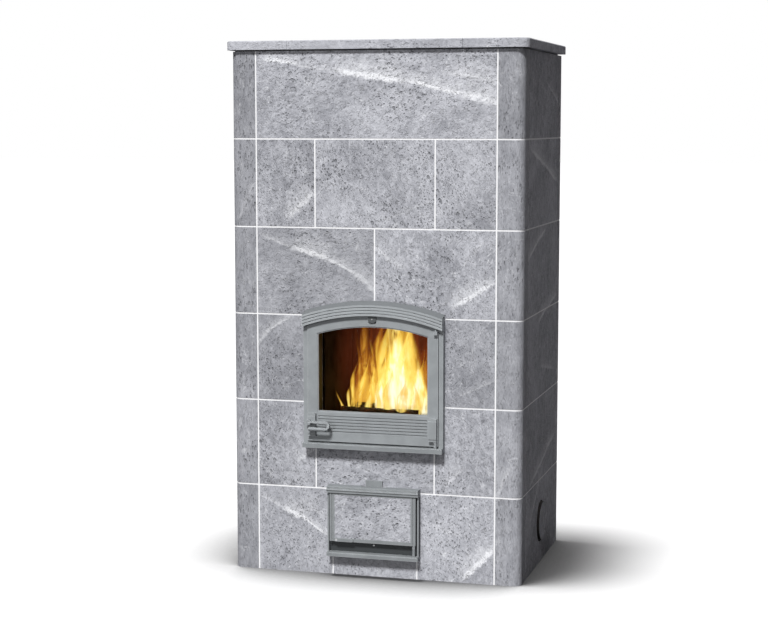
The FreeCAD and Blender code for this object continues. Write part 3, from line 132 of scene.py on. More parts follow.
class Finish:
    """One material, whose nodes are added and joined one at a time."""

    def __init__(self, name):
        self.material = bpy.data.materials.new(name)
        self.material.use_nodes = True
        self.tree = self.material.node_tree
        self.tree.nodes.clear()
        self.output = self.tree.nodes.new("ShaderNodeOutputMaterial")
        self.place = self.add("ShaderNodeTexCoord").outputs["Object"]

    @classmethod
    def reopen(cls, material):
        """The nodes of a material that is already made."""
        finish = cls.__new__(cls)
        finish.material = material
        finish.tree = material.node_tree
        nodes = {node.type: node for node in finish.tree.nodes}
        finish.output = nodes["OUTPUT_MATERIAL"]
        finish.place = nodes["TEX_COORD"].outputs["Object"]
        return finish

    def add(self, kind, inputs=None, **settings):
        """A node, with its inputs set or linked."""
        made = self.tree.nodes.new(kind)
        for key, value in settings.items():
            setattr(made, key, value)
        for key, value in (inputs or {}).items():
            if isinstance(value, bpy.types.NodeSocket):
                self.tree.links.new(value, made.inputs[key])
            else:
                made.inputs[key].default_value = value
        return made

    def sum(self, kind, first, second=0.0, third=0.0):
        return self.add("ShaderNodeMath", {0: first, 1: second, 2: third}, operation=kind).outputs[0]

    def move(self, kind, first, second):
        made = self.add("ShaderNodeVectorMath", {0: first, 1: second}, operation=kind)
        return made.outputs["Value" if kind == "DOT_PRODUCT" else "Vector"]

    def distance(self, centre, along=(1.0, 1.0, 1.0)):
        """Distance from a point, counted only along some of the axes."""
        away = self.move("MULTIPLY", self.move("SUBTRACT", self.place, centre), along)
        return self.add("ShaderNodeVectorMath", {0: away}, operation="LENGTH").outputs["Value"]

    def noise(self, place, scale, detail=2.0, rough=0.5, bend=0.0, colour=False):
        made = self.add("ShaderNodeTexNoise", {"Vector": place, "Scale": scale, "Detail": detail,
                                               "Roughness": rough, "Distortion": bend})
        return made.outputs["Color" if colour else "Fac"]

    def cells(self, place, scale):
        made = self.add("ShaderNodeTexVoronoi", {"Vector": place, "Scale": scale})
        return made.outputs["Distance"], made.outputs["Color"]

    def ramp(self, value, low, high, start=0.0, end=1.0, smooth=True):
        made = self.add("ShaderNodeMapRange", {"Value": value, "From Min": low, "From Max": high,
                                               "To Min": start, "To Max": end},
                        interpolation_type="SMOOTHSTEP" if smooth else "LINEAR")
        return made.outputs["Result"]

    def mix(self, amount, first, second, kind="MIX"):
        made = self.add("ShaderNodeMix", data_type="RGBA", blend_type=kind, clamp_factor=True)
        for socket, value in ((0, amount), (6, first), (7, second)):
            if isinstance(value, bpy.types.NodeSocket):
                self.tree.links.new(value, made.inputs[socket])
            elif socket:
                made.inputs[socket].default_value = (*value, 1.0)[:4]
            else:
                made.inputs[socket].default_value = value
        return made.outputs[2]

    def bump(self, height, strength, distance):
        made = self.add("ShaderNodeBump", {"Strength": strength, "Distance": distance, "Height": height})
        return made.outputs["Normal"]

    def surface(self, colour, **inputs):
        """Ends the material in one Principled shader."""
        named = {key.replace("_", " ").replace("ior", "IOR"): value for key, value in inputs.items()}
        shader = self.add("ShaderNodeBsdfPrincipled", {"Base Color": colour, **named})
        self.tree.links.new(shader.outputs[0], self.output.inputs["Surface"])
        return self.material


class Surroundings(Finish):
    """The world's nodes, added in the same way."""

    def __init__(self, world):
        world.use_nodes = True
        self.tree = world.node_tree
        self.tree.nodes.clear()
        self.output = self.tree.nodes.new("ShaderNodeOutputWorld")


def shaded(colour, share):
    """A colour made darker or paler."""
    return [min(part * share, 1.0) for part in colour]


def paint(name, material):
    """Gives a CAD node one finish."""
    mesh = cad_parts[name].data
    mesh.materials.clear()
    mesh.materials.append(material)


# Soapstone

# How far the grain is drawn out: up the stone, across it, or far up it where it is sawn
UPRIGHT = (1.0, 1.0, 0.72)
LEVEL = (0.66, 1.0, 1.0)
SAWN = (1.0, 1.0, 0.34)

# Veins on the front stones: start and end across and up the face, width and strength
VEINS = {
    "front_6_slab": [
        (-0.150, 1.727, 0.122, 1.693, 0.014, 1.0), (0.105, 1.695, 0.315, 1.648, 0.009, 0.95),
        (0.300, 1.651, 0.430, 1.617, 0.016, 0.85), (-0.400, 1.770, -0.260, 1.754, 0.008, 0.85),
        (0.250, 1.724, 0.430, 1.686, 0.014, 0.45), (-0.290, 1.752, -0.150, 1.728, 0.005, 0.35)],
    "front_5_left": [(-0.310, 1.236, -0.210, 1.318, 0.013, 0.70)],
    "front_5_middle": [(0.010, 1.225, 0.215, 1.300, 0.004, 0.22)],
    "front_4_left": [
        (-0.405, 1.170, -0.280, 1.128, 0.005, 0.55), (-0.292, 1.130, -0.160, 1.095, 0.013, 1.0),
        (-0.170, 1.098, -0.060, 1.046, 0.006, 0.85), (-0.070, 1.051, 0.004, 0.985, 0.013, 0.65)],
    "front_4_right": [
        (0.270, 0.938, 0.425, 1.026, 0.011, 0.85), (0.000, 1.136, 0.100, 1.064, 0.012, 0.35)],
    "front_3_left": [
        (-0.395, 0.836, -0.296, 0.896, 0.005, 0.75), (-0.430, 0.796, -0.370, 0.850, 0.008, 0.5)],
    "front_3_right": [(0.290, 0.640, 0.420, 0.700, 0.004, 0.30)],
    "front_2_left": [(-0.270, 0.392, -0.205, 0.450, 0.009, 0.55)],
    "front_2_right": [(0.250, 0.330, 0.310, 0.390, 0.010, 0.35)],
    "front_1_left": [
        (-0.325, 0.222, -0.240, 0.186, 0.012, 1.0), (-0.255, 0.192, -0.170, 0.141, 0.005, 0.85),
        (-0.415, 0.262, -0.320, 0.222, 0.005, 0.40), (-0.270, 0.262, -0.170, 0.196, 0.008, 0.25)],
    "front_1_right": [
        (0.305, 0.012, 0.425, 0.130, 0.012, 0.85), (0.200, 0.190, 0.300, 0.160, 0.012, 0.20)],
    "right_corner_stones": [(0.428, 0.305, 0.470, 0.400, 0.008, 0.35)],
    "left_corner_stones": [(-0.490, 1.220, -0.440, 1.330, 0.004, 0.30)],
}
# Veins on the side stones: start and end along and up the face
SIDE_VEINS = [(-0.26, 1.478, 0.32, 1.340, 0.010, 0.85), (0.08, 1.190, -0.28, 1.098, 0.009, 0.85),
              (0.34, 0.940, -0.08, 0.868, 0.009, 0.8), (0.32, 0.430, -0.22, 0.306, 0.009, 0.75),
              (0.06, 0.350, -0.20, 0.170, 0.007, 0.6), (0.33, 1.620, 0.05, 1.700, 0.006, 0.5),
              (0.24, 0.660, -0.02, 0.710, 0.006, 0.4)]


# How far a vein fades out past its ends, and how strong its plume is
VEIN_END = 0.02
PLUME = 0.50


def vein(finish, across, place, ragged, spec):
    """A white streak along a line on the face, ragged at its edges, with a plume of pale wisps above it."""
    start, end, width, strength = Vector(spec[:2]), Vector(spec[2:4]), spec[4], spec[5]
    run = (end - start).normalized()
    length = (end - start).length
    square = Vector((-run.y, run.x))
    if square.y < 0:
        square.negate()

    def axis(pair):
        return (pair[0], 0.0, pair[1]) if across == "X" else (0.0, pair[0], pair[1])

    along = finish.sum("SUBTRACT", finish.move("DOT_PRODUCT", place, axis(run)), run.dot(start))
    aside = finish.sum("SUBTRACT", finish.move("DOT_PRODUCT", place, axis(square)), square.dot(start))
    spread = finish.sum("SUBTRACT", finish.sum("ABSOLUTE", aside), width * 2.2)
    core = finish.ramp(finish.sum("MULTIPLY_ADD", ragged, width * 3.6, spread), width * 0.7, -width * 0.2)
    above = finish.sum("MULTIPLY_ADD", ragged, -width * 14, finish.sum("ADD", aside, width * 7))
    plume = finish.sum("MULTIPLY", finish.ramp(above, width * 6, -width),
                       finish.ramp(aside, -width, width * 0.5))
    ends = finish.sum("MULTIPLY", finish.ramp(along, -VEIN_END, length * 0.2),
                      finish.ramp(along, length + VEIN_END, length * 0.8))
    streak = finish.sum("MAXIMUM", core, finish.sum("MULTIPLY", plume, PLUME))
    return finish.sum("MULTIPLY", finish.sum("MULTIPLY", streak, ends), strength)


def spots(finish, place, scale, share, size):
    """Irregular grains: cells of which a share hold one, larger or smaller."""
    distance, chances = finish.cells(place, scale)
    chance = finish.add("ShaderNodeSeparateColor", {0: chances}).outputs[0]
    reach = finish.ramp(chance, 1.0 - share, 1.0, -0.10, size, smooth=False)
    return finish.ramp(finish.sum("SUBTRACT", distance, reach), 0.11, -0.06)


def soapstone(name, seed, stretch, across="X", veins=(), tone=1.0, specks=1.0, courses=False, lean=0.25):
    """Honed soapstone: clouds, gritty mottle, dark grains, pale flakes and white veins."""
    stone = bpy.context.scene.heater_stone
    finish = Finish(name)
    place = finish.place
    if courses:
        parts = finish.add("ShaderNodeSeparateXYZ", {0: place})
        level = finish.sum("FLOOR", finish.sum("DIVIDE", parts.outputs[2], COURSE))
        side = finish.sum("SIGN", parts.outputs[0])
        index = finish.add("ShaderNodeCombineXYZ", {0: level, 1: side, 2: seed}).outputs[0]
        chance = finish.add("ShaderNodeTexWhiteNoise", {"Vector": index}, noise_dimensions="3D")
        shift = finish.move("MULTIPLY", chance.outputs["Color"], (17.0, 13.0, 19.0))
        tint = finish.ramp(chance.outputs["Value"], 0.0, 1.0, 0.92 * tone, 1.08 * tone, smooth=False)
    else:
        shift = (seed * 1.73, seed * 2.39, seed * 3.07)
        tint = tone
    moved = finish.move("ADD", place, shift)
    turned = finish.add("ShaderNodeVectorRotate", {"Vector": moved, "Angle": lean},
                        rotation_type="Y_AXIS" if across == "X" else "X_AXIS").outputs[0]
    grained = finish.move("MULTIPLY", turned, stretch)
    crooked = finish.noise(moved, 120.0, 3.0, 0.6, 0.0, True)
    grains = finish.move("ADD", grained, finish.move("MULTIPLY", crooked, (0.0036, 0.0036, 0.0036)))

    cloud = finish.noise(moved, 4.0, 4.0, 0.6, 0.8)
    mottle = finish.noise(grained, 52.0, 8.0, 0.75, 0.5)
    grit = finish.noise(grained, 300.0, 4.0, 0.8)
    zone = finish.ramp(finish.noise(moved, 5.2, 3.0), 0.42, 0.62, 0.08, 1.0)
    body = finish.sum("MULTIPLY_ADD", cloud, 0.54, finish.sum("MULTIPLY", mottle, 0.86))
    even = 0.5 - 0.5 * min(0.35 + 0.65 * specks, 1.0)
    colour = finish.mix(finish.ramp(body, 0.48, 0.92, even, 1.0 - even), stone.deep, stone.pale)

    small = finish.sum("MULTIPLY", spots(finish, grains, 155.0, 0.62, 0.42), zone)
    large = spots(finish, finish.move("ADD", grains, (3.1, 5.7, 1.9)), 84.0, 0.22, 0.36)
    dark = finish.sum("MAXIMUM", small, finish.sum("MULTIPLY", large, zone))
    colour = finish.mix(finish.sum("MULTIPLY", dark, 0.48 * specks), colour, stone.speck)
    flake = finish.ramp(finish.noise(grains, 115.0, 4.0, 0.7, 1.6), 0.55, 0.72)
    patch = finish.ramp(finish.noise(moved, 8.0, 3.0, 0.6), 0.40, 0.64, 0.10, 0.85)
    colour = finish.mix(finish.sum("MULTIPLY", flake, patch), colour, stone.vein)

    web = finish.sum("ABSOLUTE", finish.sum("SUBTRACT", finish.noise(moved, 3.0, 6.0, 0.62, 0.9), 0.5))
    ragged = finish.noise(grains, 58.0, 6.0, 0.72)
    streaks = finish.sum("MULTIPLY", finish.ramp(web, 0.012, 0.0),
                         finish.ramp(ragged, 0.46, 0.64, 0.0, 0.55))
    wander = finish.move("MULTIPLY", finish.noise(moved, 7.0, 3.0, 0.5, 0.0, True), (0.03, 0.03, 0.03))
    wandering = finish.move("ADD", place, finish.move("SUBTRACT", wander, (0.015, 0.015, 0.015)))
    for spec in veins:
        streaks = finish.sum("MAXIMUM", streaks, vein(finish, across, wandering, ragged, spec))
    colour = finish.mix(streaks, colour, stone.vein)

    shade = finish.sum("MULTIPLY", finish.ramp(grit, 0.30, 0.70, 0.86, 1.14), tint)
    grey = finish.add("ShaderNodeCombineColor", {0: shade, 1: shade, 2: shade}).outputs[0]
    colour = finish.mix(1.0, colour, grey, "MULTIPLY")
    rough = finish.sum("MULTIPLY_ADD", mottle, 0.5, finish.sum("MULTIPLY", grit, 0.7))
    height = finish.sum("SUBTRACT", finish.sum("MULTIPLY_ADD", flake, 0.8, rough),
                        finish.sum("MULTIPLY", dark, 1.7))
    return finish.surface(colour, Roughness=finish.ramp(mottle, 0.3, 0.7, 0.86, 0.70),
                          Normal=finish.bump(height, 1.0 - even, stone.grain), Specular_ior_Level=0.08)


class HEATER_OT_front_stones(Operator):
    """Finishes each front stone with its own clouds, specks and veins"""
    bl_idname = "heater.front_stones"
    bl_label = "Front stones"

    def execute(self, context):
        # Variation, run of the grain, tone and amount of specks
        looks = {
            "front_1_left": (3, UPRIGHT, 1.00, 0.7), "front_1_sill": (5, UPRIGHT, 1.00, 0.9),
            "front_1_right": (7, UPRIGHT, 1.12, 0.75), "front_2_left": (11, UPRIGHT, 0.94, 1.1),
            "front_2_middle": (13, LEVEL, 0.98, 0.95), "front_2_right": (17, UPRIGHT, 1.03, 1.0),
            "front_3_left": (19, UPRIGHT, 0.815, 0.65), "front_3_right": (23, UPRIGHT, 0.885, 0.85),
            "front_4_left": (29, LEVEL, 0.855, 0.75), "front_4_right": (31, UPRIGHT, 1.06, 1.1),
            "front_5_left": (37, UPRIGHT, 0.97, 1.0), "front_5_middle": (41, UPRIGHT, 1.02, 1.2),
            "front_5_right": (43, UPRIGHT, 1.00, 1.0), "front_6_slab": (47, LEVEL, 1.09, 1.05),
            "ash_door_stone": (53, LEVEL, 1.04, 1.1),
        }
        for name, (seed, stretch, tone, specks) in looks.items():
            veins = VEINS.get(name, ())
            paint(name, soapstone(f"soapstone_{name}", seed, stretch, "X", veins, tone, specks))
        return {"FINISHED"}


class HEATER_OT_shell_stones(Operator):
    """Finishes the corner, side and back stones, the soot plugs and the cover slab"""
    bl_idname = "heater.shell_stones"
    bl_label = "Corner, side and back stones"

    def execute(self, context):
        for name, seed, tone in (("left_corner_stones", 61, 0.78), ("right_corner_stones", 67, 0.82)):
            paint(name, soapstone(f"sawn_{name}", seed, SAWN, "X", VEINS[name], tone, 0.5, True, 0.0))
        sides = soapstone("soapstone_sides", 71, UPRIGHT, "Y", SIDE_VEINS, 0.96, 0.8, True)
        for name in ("side_slabs", "left_hatch_slab", "right_hatch_slab"):
            paint(name, sides)
        for name in ("left_hatch_plug", "right_hatch_plug"):
            paint(name, plug_stone(name))
        backs = soapstone("soapstone_back", 73, UPRIGHT, "X", (), 0.97, 0.9, True)
        for name in ("back_stones", "flue_slab"):
            paint(name, backs)
        paint("cover_slab", soapstone("soapstone_cover", 79, LEVEL, "X", (), 1.10, 0.6, lean=0.0))
        return {"FINISHED"}


SOOT = (0.012, 0.010, 0.009)
# Width of the plug's rim that is darkened as painted shade
SHADED_RIM_WIDTH = 0.0055


def plug_stone(name):
    """Soapstone with painted shade on a rim round the plug's edge."""
    material = soapstone(f"soapstone_{name}", 71, UPRIGHT, "Y", (), 0.96, 0.8, True)
    finish = Finish.reopen(material)
    low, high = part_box(name)
    middle = (low + high) / 2
    rim = (high.z - low.z) / 2 - SHADED_RIM_WIDTH
    radius = finish.distance(middle, along=(0.0, 1.0, 1.0))
    shader = finish.output.inputs["Surface"].links[0].from_node
    clean = shader.inputs["Base Color"].links[0].from_socket
    # Painted shade: the plug's rim is darkened
    painted_rim_shade = finish.mix(finish.ramp(radius, rim - 0.0008, rim), clean, (0.018, 0.016, 0.016))
    finish.tree.links.new(painted_rim_shade, shader.inputs["Base Color"])
    return material


# Where the painted glow of firelight on the back of the firebox is strongest
FIRE_GLOW_SPOT = (-0.02, 0.06, 0.72)
PAINTED_FIRE_GLOW = (0.125, 0.025, 0.009)


class HEATER_OT_core_stones(Operator):
    """Finishes the core: sawn stone, blackened by soot, with a painted glow of firelight behind the fire"""
    bl_idname = "heater.core_stones"
    bl_label = "Core stones"

    def execute(self, context):
        finish = Finish("core_stone")
        painted_rim_shade = finish.noise(finish.place, 9.0, 4.0, 0.6)
        saw = finish.noise(finish.move("MULTIPLY", finish.place, (1.0, 1.0, 0.06)), 120.0, 3.0)
        colour = finish.mix(finish.ramp(painted_rim_shade, 0.3, 0.7), (0.007, 0.004, 0.003), (0.032, 0.017, 0.011))
        colour = finish.mix(finish.ramp(saw, 0.45, 0.75, 0.0, 0.4), colour, (0.052, 0.027, 0.018))
        # Painted light: a dull red glow on the stone behind the fire
        fire_glow_reach = finish.ramp(finish.distance(FIRE_GLOW_SPOT), 0.31, 0.06)
        heat = finish.sum("MULTIPLY", fire_glow_reach, finish.ramp(saw, 0.3, 0.7, 0.6, 1.0))
        glow = finish.mix(heat, (0.0, 0.0, 0.0), PAINTED_FIRE_GLOW)
        stone = finish.surface(colour, Roughness=finish.ramp(painted_rim_shade, 0.2, 0.8, 0.95, 0.75),
                               Emission_Color=glow, Emission_Strength=1.0,
                               Normal=finish.bump(saw, 0.4, 0.001), Specular_ior_Level=0.04)
        for name in ("base_slab", "ash_pit_floor", "ash_pit_walls", "firebox_floor_stones",
                     "firebox_wall_stones", "firebox_ceiling_stones", "upper_chamber_walls",
                     "core_top_slab"):
            paint(name, stone)
        return {"FINISHED"}


class HEATER_OT_joints(Operator):
    """Finishes the mortar, the felt, the insulation board and the rope seals"""
    bl_idname = "heater.joints"
    bl_label = "Mortar, felt and seals"

    def execute(self, context):
        finish = Finish("joint_mortar")
        grains = finish.noise(finish.place, 420.0, 4.0, 0.7)
        stains = finish.noise(finish.place, 8.0, 3.0)
        pale = bpy.context.scene.heater_stone.mortar
        colour = finish.mix(finish.ramp(stains, 0.5, 0.8, 0.0, 0.35), pale, shaded(pale, 0.82))
        colour = finish.mix(finish.ramp(grains, 0.55, 0.8, 0.0, 0.35), colour, shaded(pale, 0.7))
        paint("mortar_joints", finish.surface(colour, Roughness=finish.ramp(grains, 0.2, 0.8, 0.8, 0.95),
                                              Normal=finish.bump(grains, 0.4, 0.0006)))
        paint("top_felt", fibre("ceramic_felt", (0.16, 0.16, 0.165), (0.30, 0.30, 0.31), 300.0))
        paint("insulation_board", fibre("insulation_board", (0.48, 0.44, 0.38), (0.62, 0.58, 0.50), 160.0))
        rope = fibre("glass_rope", (0.22, 0.21, 0.20), (0.46, 0.44, 0.41), 520.0)
        paint("door_rope_seal", rope)
        paint("glass_gasket", fibre("sooty_rope", (0.016, 0.015, 0.014), (0.06, 0.055, 0.05), 520.0))
        return {"FINISHED"}


def fibre(name, deep, pale, scale):
    """Matted or woven fibre."""
    finish = Finish(name)
    strands = finish.noise(finish.move("MULTIPLY", finish.place, (1.0, 1.0, 0.25)), scale, 4.0, 0.7, 1.5)
    colour = finish.mix(finish.ramp(strands, 0.35, 0.65), deep, pale)
    return finish.surface(colour, Roughness=finish.ramp(strands, 0.2, 0.8, 0.85, 1.0),
                          Normal=finish.bump(strands, 0.6, 0.0012))


# Ironwork

SOOT_DEPTH = 0.004
GROOVE = 0.012
SHARP = 0.001
HOOD_HEIGHT = 0.049
HOOD_BEVEL = 0.012


def casting(name, dark=0.0, apron=None, crown=None):
    """Painted cast iron: paler on worn edges, which also serve as a painted highlight, with painted shade
    in grooves, black with soot inside the wall, and optional painted shade on the hood's sloping top and on
    the apron plate.
    """
    iron = bpy.context.scene.heater_iron
    finish = Finish(name)
    sand = finish.noise(finish.place, 900.0, 3.0, 0.7)
    cloudy = finish.noise(finish.place, 22.0, 4.0, 0.6)
    coat = shaded(iron.paint, 1.0 - dark)
    colour = finish.mix(finish.ramp(cloudy, 0.3, 0.7), shaded(coat, 0.92), shaded(coat, 1.07))
    colour = finish.mix(finish.ramp(sand, 0.55, 0.85, 0.0, 0.22), colour, shaded(coat, 0.6))
    # Edges paler from wear, and as a painted highlight
    rounded = finish.add("ShaderNodeBevel", {"Radius": iron.edge_width}, samples=4).outputs[0]
    flat = finish.add("ShaderNodeNewGeometry").outputs["Normal"]
    worn_and_lit_edges = finish.ramp(finish.move("DOT_PRODUCT", rounded, flat), 0.985, 0.85)
    colour = finish.mix(finish.sum("MULTIPLY", worn_and_lit_edges, 0.75 * (1.0 - dark)), colour, iron.edge)
    # Painted shade in the grooves, found by ambient occlusion
    groove_shade_ao = finish.add("ShaderNodeAmbientOcclusion", {"Distance": GROOVE}, samples=8, only_local=True)
    colour = finish.mix(finish.ramp(groove_shade_ao.outputs["AO"], 0.58, 0.12), colour, iron.recess_shade)
    parts = finish.add("ShaderNodeSeparateXYZ", {0: finish.place}).outputs
    colour = finish.mix(finish.ramp(parts[1], FRONT, FRONT + SOOT_DEPTH), colour, SOOT)
    # Painted shade: the hood's sloping top is darkened
    if crown:
        centre, radius = crown
        reach = finish.distance(centre, along=(1.0, 0.0, 1.0))
        painted_top_shade = finish.ramp(reach, radius - SHARP, radius + SHARP / 2)
        colour = finish.mix(painted_top_shade, colour, shaded(iron.paint, 0.62))
    # Painted shade: the apron plate under the ash door is darkened as the door leaf's shadow
    if apron:
        low, high, face = apron
        inside = finish.sum("MULTIPLY", finish.ramp(parts[2], low - SHARP, low),
                            finish.ramp(parts[2], high, high - SHARP))
        painted_apron_shade = finish.sum("MULTIPLY", inside, finish.ramp(parts[1], face - 2 * SHARP, face - SHARP))
        colour = finish.mix(painted_apron_shade, colour, shaded(iron.recess_shade, 0.45))
    return finish.surface(colour, Roughness=finish.ramp(sand, 0.2, 0.8, 0.50, 0.64), Metallic=0.0,
                          Normal=finish.bump(sand, 0.18, 0.0004), Specular_ior_Level=0.22)


def hood_crown():
    """The arch's centre, and the radius at which the hood's sloping top begins."""
    low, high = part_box("firebox_hood")
    rise = high.z - HOOD_HEIGHT - low.z
    radius = (high.x ** 2 + rise ** 2) / (2 * rise)
    return (0.0, 0.0, low.z + rise - radius), radius + HOOD_HEIGHT - HOOD_BEVEL


class HEATER_OT_ironwork(Operator):
    """Finishes the painted castings of both doors"""
    bl_idname = "heater.ironwork"
    bl_label = "Cast-iron doors"

    def execute(self, context):
        grey = casting("painted_iron")
        for name in ("firebox_frame", "firebox_door", "door_handle", "firebox_hinge_pins"):
            paint(name, grey)
        # The ribbed hood takes a paler copy of the paint, a painted highlight, and painted shade on its
        # sloping top
        paint("firebox_hood", casting("ribbed_iron", -0.22, crown=hood_crown()))
        low = casting("lower_iron", 0.16)
        for name in ("firebox_sill", "ash_hood", "ash_sill", "ash_door", "ash_latch", "lower_air_slide",
                     "ash_hinge_pins"):
            paint(name, low)
        # The apron below the ash door gets painted shade
        plate_face = 2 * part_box("lower_air_slide")[0].y - FRONT
        apron = (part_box("ash_sill")[1].z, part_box("ash_door")[1].z, plate_face)
        paint("ash_frame", casting("frame_iron", 0.16, apron))
        # The air tab takes a much darker copy of the paint: painted shade under the hood
        paint("upper_air_slide", casting("dark_iron", 0.72))
        return {"FINISHED"}


class HEATER_OT_steelwork(Operator):
    """Finishes the clips, cams, collar, apron screw, grate and ash pan"""
    bl_idname = "heater.steelwork"
    bl_label = "Steel, grate and ash pan"

    def execute(self, context):
        finish = Finish("plain_steel")
        brushed = finish.noise(finish.move("MULTIPLY", finish.place, (1.0, 1.0, 0.05)), 700.0, 3.0)
        colour = finish.mix(finish.ramp(brushed, 0.3, 0.7), (0.30, 0.30, 0.31), (0.46, 0.46, 0.47))
        steel = finish.surface(colour, Metallic=0.9, Roughness=finish.ramp(brushed, 0.2, 0.8, 0.30, 0.48))
        for name in ("flue_collar", "glass_clips", "firebox_latch_cam", "ash_latch_cam", "apron_screw"):
            paint(name, steel)
        finish = Finish("bare_iron")
        scale = finish.noise(finish.place, 240.0, 5.0, 0.65)
        rust = finish.noise(finish.place, 30.0, 4.0, 0.6)
        colour = finish.mix(finish.ramp(scale, 0.3, 0.7), (0.016, 0.015, 0.015), (0.050, 0.047, 0.045))
        colour = finish.mix(finish.ramp(rust, 0.58, 0.75, 0.0, 0.5), colour, (0.10, 0.045, 0.02))
        iron = finish.surface(colour, Metallic=0.4, Roughness=finish.ramp(scale, 0.2, 0.8, 0.55, 0.8),
                              Normal=finish.bump(scale, 0.5, 0.0008))
        paint("grate", iron)
        finish = Finish("black_sheet")
        dust = finish.noise(finish.place, 60.0, 5.0, 0.7)
        ashy = finish.ramp(dust, 0.45, 0.75, 0.0, 0.8)
        colour = finish.mix(ashy, (0.018, 0.018, 0.019), (0.12, 0.115, 0.11))
        sheet = finish.surface(colour, Metallic=0.3, Roughness=finish.ramp(dust, 0.3, 0.7, 0.38, 0.7))
        paint("ash_pan", sheet)
        return {"FINISHED"}


class HEATER_OT_pane(Operator):
    """Finishes the glass, with a faint sooty film in patches across it"""
    bl_idname = "heater.pane"
    bl_label = "Glass"

    def execute(self, context):
        finish = Finish("clear_pane")
        film = finish.noise(finish.place, 12.0, 4.0, 0.6)
        colour = finish.mix(finish.ramp(film, 0.35, 0.75), (0.97, 0.96, 0.94), (0.86, 0.83, 0.79))
        pane = finish.surface(colour, Transmission_Weight=1.0, ior=1.1, Specular_Tint=(0.2, 0.2, 0.2, 1.0),
                              Roughness=finish.ramp(film, 0.4, 0.8, 0.0, 0.02))
        paint("door_glass", pane)
        return {"FINISHED"}


# New pieces

def place_mesh(name, bm, body, material):
    """Makes an object of a bmesh, which rides on a body."""
    mesh = bpy.data.meshes.new(name)
    bm.to_mesh(mesh)
    bm.free()
    piece = bpy.data.objects.new(name, mesh)
    bpy.context.scene.collection.objects.link(piece)
    mesh.materials.append(material)
    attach(piece, body)
    return piece


def smooth_faces(bm):
    for face in bm.faces:
        face.smooth = True


def log_mesh(bm, start, end, radius, seed):
    """A round log, bumpy along its length and a little slimmer at one end."""
    run = end - start
    steps = 22
    bmesh.ops.create_cone(bm, cap_ends=True, segments=28, radius1=radius, radius2=radius * 0.93,
                          depth=run.length)
    lengthwise = [edge for edge in bm.edges
                  if abs(edge.verts[0].co.z - edge.verts[1].co.z) > run.length / 2]
    bmesh.ops.subdivide_edges(bm, edges=lengthwise, cuts=steps, use_grid_fill=True)
    for vert in bm.verts:
        swell = noise.fractal(Vector((vert.co.x * 30, vert.co.y * 30, vert.co.z * 9 + seed)), 0.8, 2.0, 4)
        vert.co.xy *= 1.0 + 0.13 * swell
        vert.co.x += 0.010 * noise.noise(Vector((vert.co.z * 6, seed, 0)))
    turn = run.to_track_quat("Z", "Y").to_matrix().to_4x4()
    bmesh.ops.transform(bm, matrix=Matrix.Translation((start + end) / 2) @ turn, verts=bm.verts)


def charred_wood():
    """Charcoal bark, cracked, with a glow in the cracks near the fire."""
    finish = Finish("charred_wood")
    bark = finish.move("MULTIPLY", finish.place, (0.45, 1.0, 1.0))
    crack, _ = finish.cells(finish.move("ADD", bark, finish.noise(bark, 40.0, 3.0, 0.6, 0.0, True)), 70.0)
    ash = finish.noise(finish.place, 60.0, 5.0, 0.7)
    colour = finish.mix(finish.ramp(crack, 0.1, 0.7), (0.006, 0.004, 0.003), (0.040, 0.024, 0.016))
    colour = finish.mix(finish.ramp(ash, 0.60, 0.78, 0.0, 0.6), colour, (0.16, 0.13, 0.11))
    hot = finish.noise(finish.place, 26.0, 4.0, 0.6)
    glow = finish.sum("MULTIPLY", finish.ramp(crack, 0.24, 0.05), finish.ramp(hot, 0.44, 0.60))
    warm = finish.mix(glow, (0.0, 0.0, 0.0), (1.0, 0.22, 0.02))
    return finish.surface(colour, Roughness=finish.ramp(ash, 0.3, 0.7, 0.95, 0.8), Emission_Color=warm,
                          Emission_Strength=1.6, Normal=finish.bump(crack, 0.7, 0.003))


def embers():
    """Glowing coals."""
    finish = Finish("embers")
    coal, _ = finish.cells(finish.place, 60.0)
    hot = finish.noise(finish.place, 38.0, 4.0, 0.6)
    glow = finish.ramp(finish.sum("MULTIPLY_ADD", coal, 0.5, hot), 0.55, 0.85)
    warm = finish.mix(glow, (0.05, 0.004, 0.0), (1.0, 0.34, 0.04))
    colour = finish.mix(glow, (0.02, 0.014, 0.012), (0.20, 0.06, 0.02))
    return finish.surface(colour, Roughness=finish.ramp(hot, 0.3, 0.7, 0.95, 0.8), Emission_Color=warm,
                          Emission_Strength=1.3, Normal=finish.bump(coal, 0.6, 0.004))


EMBERS_WIDE = 0.34
EMBERS_DEEP = 0.25
EMBERS_LIFT = 0.0015


class HEATER_OT_logs(Operator):
    """Lays the logs and the embers on the grate"""
    bl_idname = "heater.logs"
    bl_label = "Logs and embers"

    def execute(self, context):
        radius = context.scene.heater_fire.log_radius
        bed = GRATE_TOP + radius
        middle = (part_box("grate")[0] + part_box("grate")[1]) / 2
        wood = charred_wood()
        lay = {
            "log_front": ((-0.175, -0.068, bed), (0.105, -0.056, bed), 1.0),
            "log_back": ((-0.150, 0.040, bed), (0.150, 0.025, bed), 5.0),
        }
        for name, (start, end, seed) in lay.items():
            bm = bmesh.new()
            log_mesh(bm, Vector((start[0], middle.y + start[1], start[2])),
                     Vector((end[0], middle.y + end[1], end[2])), radius, seed)
            bmesh.ops.recalc_face_normals(bm, faces=bm.faces)
            smooth_faces(bm)
            place_mesh(name, bm, "heater", wood)
        bm = bmesh.new()
        bmesh.ops.create_grid(bm, x_segments=48, y_segments=32, size=0.5)
        for vert in bm.verts:
            edge = max(abs(vert.co.x), abs(vert.co.y)) * 2
            lump = noise.fractal(Vector((vert.co.x * 16, vert.co.y * 12, 3.0)), 0.9, 2.0, 4)
            heap = (0.012 + 0.008 * lump) * (1.0 - edge ** 4)
            vert.co = Vector((vert.co.x * EMBERS_WIDE, middle.y + vert.co.y * EMBERS_DEEP,
                              GRATE_TOP + EMBERS_LIFT + heap))
        smooth_faces(bm)
        place_mesh("ember_bed", bm, "heater", embers())
        return {"FINISHED"}


